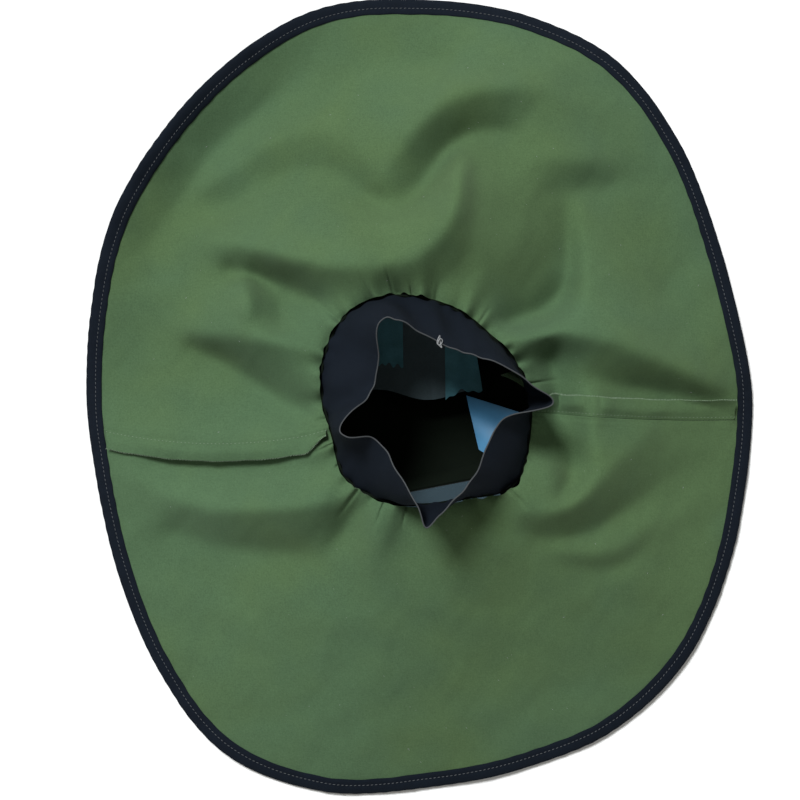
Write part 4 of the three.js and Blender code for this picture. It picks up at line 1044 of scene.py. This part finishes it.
def build_cape_half(name, node, seam_from, seam_to, columns):
    """Half of the cape between two seams, raised along the second one over its allowances."""
    size = sizes()
    angle, reach, distance, share = half_grid(seam_from, seam_to, columns, rows=118)
    reach = reach + ragged(angle) * clamp01(1 - reach / 0.06)
    x, y = cape_plan(angle, reach)
    z = cape_height(x, y)
    span = np.radians(np.abs(angle[:, -1:] - angle[:, :1])) * distance
    gap = span * (1 - share)
    under_tape = smooth((binding_reach(angle) - reach) / 0.03)
    z = z + SEAM_RISE * np.exp(-((gap / 0.009) ** 2)) * smooth(reach / 0.1) * under_tape
    z = z - 0.0006 * np.exp(-(((gap - 0.0035) / 0.0012) ** 2))
    front = np.stack([x, y, z], axis=2)
    piece = cloth_piece(name, front, size.canvas_thickness, front[:, :, :2], lying=True)
    set_material(piece, cloth("Canvas"))
    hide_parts(node)
    return piece


def rim_point(angle, depth):
    """Point of the cape's upper face at a distance in from the rim."""
    x, y = cape_plan(angle, 1 - depth / (rim_reach(angle) - neck_reach(angle)))
    return np.stack([x, y, cape_height(x, y)], axis=-1)


def rim_normal(angle):
    """Normal of the cape along the rim."""
    inward = rim_point(angle, sizes().binding_width) - rim_point(angle, 0)
    along = rim_point(angle + 0.3, 0) - rim_point(angle - 0.3, 0)
    normal = np.cross(inward, along)
    normal /= np.linalg.norm(normal, axis=1, keepdims=True)
    return normal * np.sign(normal[:, 2:3])


def pucker(angle, count, seed):
    """Uneven waves of the tape, count of them round the rim, from -1 to 1."""
    a = np.radians(angle)
    return np.sin(a * count + 2.1 * np.sin(a * (7 + seed)) + seed) * (0.6 + 0.4 * np.sin(a * 11 + seed))


def build_binding():
    """Tape folded over the rim, round a closed section, with a row of stitches on each face."""
    size = sizes()
    count = 960
    angle = np.linspace(0, 360, count, endpoint=False)
    normal = rim_normal(angle)
    depth = size.binding_width
    thin = size.binding_thickness
    top = TAPE_GAP + thin
    foot = -size.canvas_thickness - TAPE_GAP - thin
    out = -0.0003 - thin
    wave = pucker(angle, 170, 1) * 0.0002
    edge_wave = pucker(angle, 96, 2) * 0.0003
    depth_top = depth + edge_wave
    section = (
        (depth_top, 0.0002),
        (depth_top + 0.0001, top * 0.6 + wave * 0.5),
        (depth_top - 0.0006, top + wave),
        (depth * 0.72, top + wave * 1.2 + 0.0002),
        (depth * 0.6, top + wave * 0.2 - 0.00015),
        (depth * 0.48, top + wave + 0.0003),
        (depth * 0.22, top + wave * 0.7 + 0.0004),
        (out * 0.2, top * 0.95 + wave * 0.3),
        (out * 0.85 + wave, mix(top, foot, 0.25)),
        (out + wave * 1.5, mix(top, foot, 0.5)),
        (out * 0.85 + wave, mix(top, foot, 0.78)),
        (out * 0.2, foot * 0.97),
        (depth * 0.5, foot - 0.0002 + wave * 0.3),
        (depth - 0.0005, foot),
        (depth, -size.canvas_thickness - 0.0002),
        (depth * 0.5, -size.canvas_thickness - 0.0002),
        (-0.0003, -size.canvas_thickness - 0.0001),
        (-0.0003, 0.0001),
        (depth * 0.5, 0.0002),
    )
    rings = [
        rim_point(angle, along) + normal * np.broadcast_to(rise, count)[:, None] for along, rise in section
    ]
    points = len(section)
    faces = []
    for s in range(count):
        n = (s + 1) % count
        for p in range(points):
            q = (p + 1) % points
            faces.append((s * points + p, n * points + p, n * points + q, s * points + q))
    map_length, map_width = TAPE_MAP
    along_rim, across = np.meshgrid(
        np.linspace(0, map_length, count), np.linspace(0, map_width, points), indexing="ij"
    )
    uvs = np.stack([along_rim, across], axis=2)
    piece = new_piece("cape_binding_tape", np.stack(rings, axis=1), faces, uvs)
    set_material(piece, cloth("Edge tape"))
    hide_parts("cape_binding")
    line = rim_point(angle, depth * 0.6) + normal * (top + 0.0001)
    row = stitches("cape_binding_stitches", line, normal, "edge_tape", closed=True, lean=0.12)
    under = rim_point(angle, depth * 0.6) + normal * (foot - 0.0001)
    stitches("cape_binding_stitches_under", under, -normal, "edge_tape", closed=True)
    return piece


def build_flap(name, seam, side, rim_spring):
    """Two layers of seam allowance turned over onto the cape, with a serged raw edge."""
    size = sizes()
    reach = np.linspace(0.012, 0.985, 150)
    angle = seam_angle(seam, reach)
    reach = reach * binding_reach(angle)
    x, y = cape_plan(angle, reach)
    seat = cape_height(x, y)
    part = np.linspace(0, 1, 9)[None, :]
    wave = 1 + 0.015 * np.sin(reach * 31) + 0.008 * np.sin(reach * 67 + 1)
    gathered = mix(0.3, 1, smooth((reach - 0.01) / 0.09))
    away = size.seam_allowance * part * (wave * gathered)[:, None]
    ground = np.max(
        [
            cape_height(x[:, None] + dx, y[:, None] + side * away + dy) - FLAP_SLOPE * abs(dx)
            for dx in (-0.009, 0, 0.009)
            for dy in (-0.008, 0, 0.008)
        ],
        axis=0,
    )
    level = np.maximum(ground, seat[:, None] - away * FLAP_SLOPE)
    base = seat + SEAM_RISE * smooth(reach / 0.1)
    rise = mix(base[:, None], level + 0.0021, smooth(part * 1.6))
    spring = away * (0.09 + rim_spring * reach**3)[:, None]
    ripple = 0.00015 * np.sin(reach * 150)[:, None] * part
    top = rise + spring + ripple
    layers = []
    for layer, drop, dip, short in (("upper", 0.0, 0.0, 1.0), ("lower", 0.00095, 0.0004, 0.965)):
        height = top - drop - dip * part
        front = np.stack([x[:, None] + 0 * part, y[:, None] + side * away * short, height], axis=2)
        piece = cloth_piece(f"{name}_{layer}", front, 0.0008, front[:, :, :2], lying=True)
        set_material(piece, cloth("Canvas"))
        layers.append((piece, front))
    upper, front = layers[0]
    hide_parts(name)
    edge = front[:, -1]
    normals = grid_normals(front)
    normals *= np.sign(normals[:, :, 2:3])
    edge_stitches = stitches(
        f"{name}_serging", edge - (0, 0, 0.0004), normals[:, -1], "canvas",
        material=thread("Green thread"), pitch=0.0017, stitch_length=0.003, lean=1.25, unevenness=0.6,
        thread_radius=0.00036,
    )
    row = stitches(
        f"{name}_seam_stitches", front[:, 1], normals[:, 1], "canvas",
        material=thread("Seam thread"), pitch=0.004, stitch_length=0.002,
    )
    return upper


def cuff_edge_at(start):
    """Angle and reach of the free edge for a place on the neck seam."""
    table = np.array(CUFF_EDGE, float)
    count = len(table)
    turns = np.concatenate([table + (360 * k, 360 * k, 0) for k in (-1, 0, 1)])
    start = np.asarray(start, float) % 360
    first = np.searchsorted(turns[:, 0], start, side="right") - 1
    rows = [turns[np.clip(first + step, 0, 3 * count - 1)] for step in (-1, 0, 1, 2)]
    share = (start - rows[1][..., 0]) / (rows[2][..., 0] - rows[1][..., 0])
    return tuple(spline(*(row[..., i] for row in rows), share) for i in (1, 2))


def cuff_point(start, part):
    """Point of the cuff's middle, from its place on the neck seam and its share of the way to the edge."""
    size = sizes()
    edge, reach = cuff_edge_at(start)
    bx, by = plan_point(start, neck_reach(start) - 0.0028)
    ex, ey = plan_point(edge, reach * size.neck_radius)
    foot = neck_level(start) - 0.0065
    run = np.hypot(ex - bx, ey - by)
    rise = np.sqrt(np.maximum((size.cuff_width + 0.003) ** 2 - run**2, (size.cuff_width / 3) ** 2))
    lean = part**1.25
    return np.stack([mix(bx, ex, lean), mix(by, ey, lean), foot + rise * part], axis=-1)


def build_cuff():
    size = sizes()
    columns, rows = 420, 44
    start = np.linspace(0, 360, columns, endpoint=False)[None, :]
    part = np.linspace(0, 1, rows)[:, None]
    start, part = np.broadcast_arrays(start, part)
    middle = cuff_point(start, part)
    normal = grid_normals(middle, wraps=True)
    outward = np.sign((normal[:, :, :2] * middle[:, :, :2]).sum(axis=2).mean())
    normal *= outward
    a = np.radians(start)
    gathers = np.sin(a * 34 + 1.5 * np.sin(a * 5)) * np.exp(-part / 0.12) * 0.0011
    soft = np.sin(a * 9 + 1.2 * np.sin(a * 4) + part * 1.7) * np.sin(part * math.pi) * 0.0026
    edge_wave = np.sin(a * 21 + 1.4 * np.sin(a * 6)) * part**3 * 0.0005
    front = middle + normal * (gathers + soft + edge_wave)[:, :, None]
    arc = start / 360 * 0.66
    uvs = np.stack([arc, part * size.cuff_width], axis=2)
    piece = cloth_piece(
        "neck_cuff_cloth", front, size.cuff_thickness, uvs, wraps=True, centred=True
    )
    set_material(piece, cloth("Navy cloth"))
    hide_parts("neck_cuff")
    edge = front[-1]
    cord = tube_piece("neck_cuff_edge_thread", edge + (0, 0, 0.0003), 0.00062, closed=True)
    set_material(cord, thread("Dark grey thread"))
    serging = stitches(
        "neck_cuff_serging", edge - (0, 0, 0.001), normal[-1], "navy_cloth", closed=True,
        material=thread("Dark grey thread"), pitch=0.0021, stitch_length=0.0022, lean=1.2, unevenness=0.3,
        thread_radius=0.0006,
    )
    return piece


def bag_point(angle, level, reach, rounding, inset):
    """Point of the bag's outer face, or of a face that lies inset in from it."""
    size = sizes()
    bulge = 1 + (reach - 1) * np.where(reach > 1, around(BAG_BULGE, angle), 1)
    own = neck_reach(angle) - 0.0006
    ripple = np.sin(np.radians(angle) * 7) * 0.0025 * clamp01(reach - 0.9)
    distance = mix(own, size.neck_radius, rounding) * bulge + ripple * rounding - inset
    top = mix(neck_level(angle) - 0.0068, size.neck_height * 0.93, rounding)
    x, y = plan_point(angle, distance)
    z = np.maximum(level * top, inset)
    return np.stack(np.broadcast_arrays(x, y, z), axis=-1)


def section_at(place):
    """Level, reach and rounding of the bag at a place along its sections."""
    table = np.array(BAG_SECTIONS, float)
    last = len(table) - 1
    first = np.clip(np.floor(place).astype(int), 0, last - 1)
    rows = [table[np.clip(first + step, 0, last)] for step in (-1, 0, 1, 2)]
    return tuple(spline(*(row[..., i] for row in rows), place - first) for i in range(3))


def build_bag():
    """Slumped bag of two faces, flat where the visor stands, with both ends of its crown closed."""
    size = sizes()
    columns, rows = 168, 60
    angle = np.linspace(0, 360, columns, endpoint=False)[None, :]
    place = np.linspace(0, len(BAG_SECTIONS) - 1, rows)[:, None]
    angle, place = np.broadcast_arrays(angle, place)
    level, reach, rounding = section_at(place)
    normal = np.array(VISOR_PLACE.to_3x3() @ Vector((0, 0, 1)))
    middle = np.array(VISOR_PLACE.translation)
    shells = []
    for inset in (0.0, size.bag_thickness):
        points = bag_point(angle, level, reach, rounding, inset)
        a = np.radians(angle)
        slump = np.sin(place * 2.6 + 1.4 * np.sin(a * 3) + 0.8 * np.sin(a * 7)) * 0.0022
        slump = slump * smooth((place - 1.2) / 1.5) * smooth((7.0 - place) / 1.5)
        outward = np.stack([np.cos(a), np.sin(a), 0 * a], axis=2)
        points = points - outward * np.maximum(slump, -0.0022)[:, :, None]
        beyond = (points - middle) @ normal + inset
        points = points - outward * (np.maximum(beyond, 0) / np.maximum(outward @ normal, 0.2))[:, :, None]
        shells.append(points)
    vertices = np.concatenate([shell.reshape(-1, 3) for shell in shells])
    faces = shell_faces(rows, columns, wraps=True, foot=False)
    end = rows * columns
    faces.append(tuple(range(end - columns, end)))
    faces.append(tuple(reversed(range(2 * end - columns, 2 * end))))
    uvs = np.stack([np.radians(angle) * 0.1, place * 0.02], axis=2)
    uvs = np.concatenate([uvs.reshape(-1, 2)] * 2)
    piece = new_piece("hood_body_cloth", vertices, faces, uvs)
    cut_visor(piece)
    # The bag gets the near-black canvas colour: painted shade of its deep hollow.
    set_material(piece, cloth("Bag canvas with painted shade"))
    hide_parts("hood_body")
    return piece


def cut_visor(piece):
    """Cuts the visor's opening through the front of the bag."""
    width, height = (side - 2 * VISOR_BORDER for side in VISOR_SIZE)
    cutter = bmesh.new()
    bmesh.ops.create_cube(cutter, size=1.0)
    bmesh.ops.scale(cutter, vec=(width, height, 0.04), verts=cutter.verts)
    upright = [e for e in cutter.edges if abs((e.verts[0].co - e.verts[1].co).z) > 0.01]
    bmesh.ops.bevel(cutter, geom=upright, offset=0.014, segments=5, affect="EDGES", profile=0.5)
    place = Matrix.Translation((*NECK_AXIS, 0)) @ VISOR_PLACE
    bmesh.ops.transform(cutter, matrix=place, verts=cutter.verts)
    mesh = bpy.data.meshes.new("cutter")
    cutter.to_mesh(mesh)
    cutter.free()
    block = bpy.data.objects.new("cutter", mesh)
    bpy.context.collection.objects.link(block)
    cut = piece.modifiers.new("visor", "BOOLEAN")
    cut.operation = "DIFFERENCE"
    cut.solver = "EXACT"
    cut.object = block
    depsgraph = bpy.context.evaluated_depsgraph_get()
    result = bpy.data.meshes.new_from_object(piece.evaluated_get(depsgraph), depsgraph=depsgraph)
    piece.modifiers.remove(cut)
    piece.data = result
    bpy.data.objects.remove(block)
    smooth_shading(piece)


def pad_point(down, across):
    """Middle of the nape pad: down from the neck seam, across from right to left."""
    size = sizes()
    angle = mix(*PAD_ANGLES, across)
    seat = bag_point(angle, 0.86, 1.0, 0.0, size.bag_thickness + 0.0026)
    free_x = size.neck_radius * mix(0.5, -0.56, across)
    free_y = size.neck_radius * (0.03 + 0.05 * np.cos(across * 7))
    sag = np.sin(down * math.pi) * 0.0074
    x = mix(seat[..., 0], free_x, down)
    y = mix(seat[..., 1], free_y, down)
    return np.stack(np.broadcast_arrays(x, y, seat[..., 2] - 0.044 * down - sag), axis=-1)


def on_pad(down, across, lift):
    """Points that lie lift above the middle of the nape pad."""
    points = pad_point(down, across)
    normals = grid_normals(points)
    normals = normals * np.sign(normals[:, :, 2:3])
    return points + normals * lift


def grid_shares(rows, columns, start=0, end=1):
    """Two grids of shares: from start to end down the rows, and from 0 to 1 across the columns."""
    return np.meshgrid(np.linspace(start, end, rows), np.linspace(0, 1, columns), indexing="ij")


def build_pad():
    down, across = grid_shares(40, 60)
    pad_top = on_pad(down, across, 0.0018)
    quilt = 0.0009 * np.exp(-(((across - 0.42) / 0.02) ** 2))
    pad_top[:, :, 2] -= quilt
    uvs = np.stack([across * 0.11, down * 0.12], axis=2)
    pad = cloth_piece("nape_pad_cloth", pad_top, 0.0036, uvs)
    set_material(pad, cloth("Pad cloth"))
    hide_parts("nape_pad")


def build_teal_pieces():
    """Ragged strip and pocket that lie on the nape pad."""
    row, column = grid_shares(48, 26)
    torn = 0.05 * np.abs(((column * 2.3 + 0.2) % 1) - 0.5) + 0.02 * np.sin(column * 23)
    strip = on_pad(mix(0.12, 0.68 + torn, row), mix(0.665, 0.915, column), 0.0034)
    strip[:, :, 2] += 0.0006 * np.sin(column * 9 + row * 3)
    uvs = np.stack([column * 0.027, row * 0.06], axis=2)
    piece = cloth_piece("teal_strip_cloth", strip, 0.0008, uvs)
    set_material(piece, cloth("Teal cloth"))
    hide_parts("teal_strip")

    foot = 1.0 + 0.03 * np.sin(column * 8) + 0.02 * np.sin(column * 19)
    pocket = on_pad(mix(0.4, foot, row), mix(-0.05, 0.29, column), 0.0034)
    oval = np.hypot((column - 0.55) / 0.38, (row - 0.38) / 0.4)
    pocket[:, :, 2] += 0.0022 * (1 - smooth(oval)) + 0.0005 * np.sin(column * 11)
    uvs = np.stack([column * 0.037, row * 0.06], axis=2)
    piece = cloth_piece("teal_pocket_cloth", pocket, 0.0008, uvs)
    set_material(piece, cloth("Teal cloth"))
    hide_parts("teal_pocket")


def build_film():
    """Sheet of film that hangs from the right of the bag's wall."""
    part, away = grid_shares(30, 30)
    seat = bag_point(mix(350, 320, away), 0.57, 1.15, 0.6, 0.0032)
    radius = sizes().neck_radius
    x = mix(seat[:, :, 0], radius * mix(0.4, 0.52, away), part)
    y = mix(seat[:, :, 1], radius * mix(0.02, -0.5, away), part)
    z = seat[:, :, 2] - 0.021 * part**1.5 - 0.004 * np.sin(away * math.pi)
    z = z + 0.001 * np.sin(away * 9 + part * 2)
    film = np.stack([x, y, z], axis=2)
    uvs = np.stack([part * 0.06, away * 0.06], axis=2)
    piece = cloth_piece("blue_film_sheet", film, 0.0006, uvs)
    set_material(piece, make_film("Blue film"))
    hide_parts("blue_film")


def build_side_seam(name, angle, from_place, to_place, twist):
    """Raw-edged allowance of the bag's side seam, standing in from the wall."""
    size = sizes()
    place, part = grid_shares(40, 10, from_place, to_place)
    level, reach, rounding = section_at(place)
    wave = 1 + 0.08 * np.sin(place * 6) + 0.05 * np.sin(place * 15)
    inset = size.bag_thickness + 0.0012 + 0.015 * part * wave
    points = bag_point(angle + twist * part, level, reach, rounding, inset)
    points[:, :, 2] += 0.0012 * np.sin(place * 5) * part
    uvs = np.stack([part * 0.015, place * 0.03], axis=2)
    for layer, shift in (("inner", 0.0), ("outer", 0.0011)):
        sheet = points + (0, shift, 0)
        piece = cloth_piece(f"{name}_{layer}", sheet, 0.0007, uvs, centred=True)
        set_material(piece, cloth("Canvas"))
        if layer == "inner":
            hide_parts(name)
    normals = grid_normals(points)
    stitches(
        f"{name}_serging", points[:, -1], normals[:, -1], "canvas",
        material=thread("Green thread"), pitch=0.0018, stitch_length=0.0024, lean=1.3, unevenness=0.4,
        thread_radius=0.0003,
    )


def dress_visor():
    """Rounded edges and finishes for the visor's own solids."""
    for node, material, rounding in (
        ("visor_frame", make_plastic("Black plastic"), 0.0009),
        ("visor_pane", make_pane("Clear pane"), 0.0004),
    ):
        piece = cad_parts[node]
        weld = piece.modifiers.new("weld", "WELD")
        weld.merge_threshold = 0.00001
        bevel = piece.modifiers.new("edge", "BEVEL")
        bevel.width = rounding
        bevel.segments = 2
        bevel.limit_method = "ANGLE"
        set_material(piece, material)


def build_thread_bow():
    """Loose ends of the cuff's thread, tied in a small bow on its seam."""
    edge = cuff_point(np.array([86.5]), np.array([1.0]))[0]
    turn = np.linspace(0, 2 * math.pi, 60)
    loops = (
        edge[0] + 0.0045 * np.sin(turn) * np.cos(turn * 0.5) - 0.001 * np.sin(3 * turn),
        edge[1] + 0.004 * np.sin(2 * turn) - 0.002 * np.cos(turn),
        edge[2] + 0.0018 + 0.0012 * np.sin(turn * 2 + 0.6),
    )
    bow = tube_piece("cuff_thread_bow", np.stack(loops, axis=1), 0.00045)
    set_material(bow, thread("Pale thread"))


def build_lint():
    stage = bpy.context.scene.hood_stage
    for name in ("cape_back_cloth", "cape_front_cloth"):
        source = bpy.data.objects.new("lint source", bpy.data.objects[name].data.copy())
        bpy.context.collection.objects.link(source)
        inputs = {
            "Density": 260.0,
            "Fibre length": 0.0024,
            "Fibre radius": 0.00022,
            "Seed": stage.lint_seed,
            "Material": thread("Pale thread"),
        }
        grown(name.replace("_cloth", "_lint"), source, shared("Lint", lint_tree), inputs)


class HOOD_OT_cape(bpy.types.Operator):
    """Lay the two halves of the canvas cape in their folds"""

    bl_idname = "hood.cape"
    bl_label = "Cape"

    def execute(self, context):
        build_cape_half("cape_back_cloth", "cape_back", RIGHT_SEAM, LEFT_SEAM, 340)
        build_cape_half("cape_front_cloth", "cape_front", LEFT_SEAM, RIGHT_SEAM, 300)
        return {"FINISHED"}


class HOOD_OT_binding(bpy.types.Operator):
    """Fold the navy tape over the rim and stitch it down"""

    bl_idname = "hood.binding"
    bl_label = "Edge binding"

    def execute(self, context):
        build_binding()
        return {"FINISHED"}


class HOOD_OT_seam_flaps(bpy.types.Operator):
    """Turn the two seam allowances over onto the cape"""

    bl_idname = "hood.seam_flaps"
    bl_label = "Seam allowances"

    def execute(self, context):
        build_flap("seam_flap_left", LEFT_SEAM, -1, 0.0)
        build_flap("seam_flap_right", RIGHT_SEAM, 1, 0.23)
        return {"FINISHED"}


class HOOD_OT_cuff(bpy.types.Operator):
    """Stand the navy cuff in the neck seam"""

    bl_idname = "hood.cuff"
    bl_label = "Neck cuff"

    def execute(self, context):
        build_cuff()
        build_thread_bow()
        return {"FINISHED"}


class HOOD_OT_bag(bpy.types.Operator):
    """Slump the head bag and dress its visor"""

    bl_idname = "hood.bag"
    bl_label = "Head bag and visor"

    def execute(self, context):
        build_bag()
        dress_visor()
        build_side_seam("side_seam_right", 6, 1, 4, 10)
        build_side_seam("side_seam_left", 196, 1, 5, -8)
        return {"FINISHED"}


class HOOD_OT_linings(bpy.types.Operator):
    """Lay the pad, the teal pieces and the blue film in the hollow"""

    bl_idname = "hood.linings"
    bl_label = "Linings"

    def execute(self, context):
        build_pad()
        build_teal_pieces()
        build_film()
        return {"FINISHED"}


class HOOD_OT_lint(bpy.types.Operator):
    """Scatter a little lint over the cape"""

    bl_idname = "hood.lint"
    bl_label = "Lint"

    def execute(self, context):
        build_lint()
        return {"FINISHED"}


class HOOD_OT_stage(bpy.types.Operator):
    """Set up the floor, the soft light and the camera straight above"""

    bl_idname = "hood.stage"
    bl_label = "Stage"

    def execute(self, context):
        scene = context.scene
        stage = scene.hood_stage
        scene.view_settings.view_transform = "Standard"
        scene.view_settings.look = "None"
        mesh = bpy.data.meshes.new("floor")
        mesh.from_pydata([(-4, -4, 0), (4, -4, 0), (4, 4, 0), (-4, 4, 0)], [], [(0, 1, 2, 3)])
        floor = bpy.data.objects.new("floor", mesh)
        scene.collection.objects.link(floor)
        paper, _, shader = new_material("White paper")
        shader.inputs["Base Color"].default_value = PAPER_COLOUR
        shader.inputs["Roughness"].default_value = 0.9
        mesh.materials.append(paper)
        world = bpy.data.worlds.new("studio")
        world.use_nodes = True
        background = world.node_tree.nodes["Background"]
        background.inputs["Color"].default_value = AMBIENT_COLOUR
        background.inputs["Strength"].default_value = stage.ambient
        scene.world = world
        light = bpy.data.lights.new("key", "SUN")
        light.angle = KEY_SOFTNESS
        light.energy = stage.key_strength
        light.color = KEY_COLOUR
        key = bpy.data.objects.new("key", light)
        scene.collection.objects.link(key)
        key.location = Vector(KEY_DIRECTION).normalized() * 3.0
        key.rotation_euler = (-key.location).to_track_quat("-Z", "Y").to_euler()
        data = bpy.data.cameras.new("camera")
        data.lens = CAMERA_LENS
        data.sensor_width = 36
        camera = bpy.data.objects.new("camera", data)
        scene.collection.objects.link(camera)
        camera.location = (*CAMERA_PLACE, stage.camera_height)
        scene.camera = camera
        return {"FINISHED"}


class HOOD_PT_panel(bpy.types.Panel):
    """Pieces of the hood"""

    bl_label = "Sandblasting hood"
    bl_idname = "HOOD_PT_panel"
    bl_space_type = "VIEW_3D"
    bl_region_type = "UI"
    bl_category = "Hood"

    def draw(self, context):
        for operator in OPERATORS:
            self.layout.operator(operator.bl_idname)
        for group in (context.scene.hood_sizes, context.scene.hood_colours, context.scene.hood_stage):
            box = self.layout.box()
            for name in group.bl_rna.properties.keys():
                if name not in ("rna_type", "name"):
                    box.prop(group, name)


OPERATORS = (
    HOOD_OT_cape,
    HOOD_OT_binding,
    HOOD_OT_seam_flaps,
    HOOD_OT_cuff,
    HOOD_OT_bag,
    HOOD_OT_linings,
    HOOD_OT_lint,
    HOOD_OT_stage,
)
CLASSES = (HoodSizes, HoodColours, HoodStage, *OPERATORS, HOOD_PT_panel)


def register():
    for item in CLASSES:
        bpy.utils.register_class(item)
    bpy.types.Scene.hood_sizes = PointerProperty(type=HoodSizes)
    bpy.types.Scene.hood_colours = PointerProperty(type=HoodColours)
    bpy.types.Scene.hood_stage = PointerProperty(type=HoodStage)


def unregister():
    for name in ("hood_sizes", "hood_colours", "hood_stage"):
        delattr(bpy.types.Scene, name)
    for item in reversed(CLASSES):
        bpy.utils.unregister_class(item)


def main():
    register()
    bpy.ops.hood.cape()
    bpy.ops.hood.binding()
    bpy.ops.hood.seam_flaps()
    bpy.ops.hood.cuff()
    bpy.ops.hood.bag()
    bpy.ops.hood.linings()
    bpy.ops.hood.lint()
    bpy.ops.hood.stage()


if __name__ == "__main__":
    main()
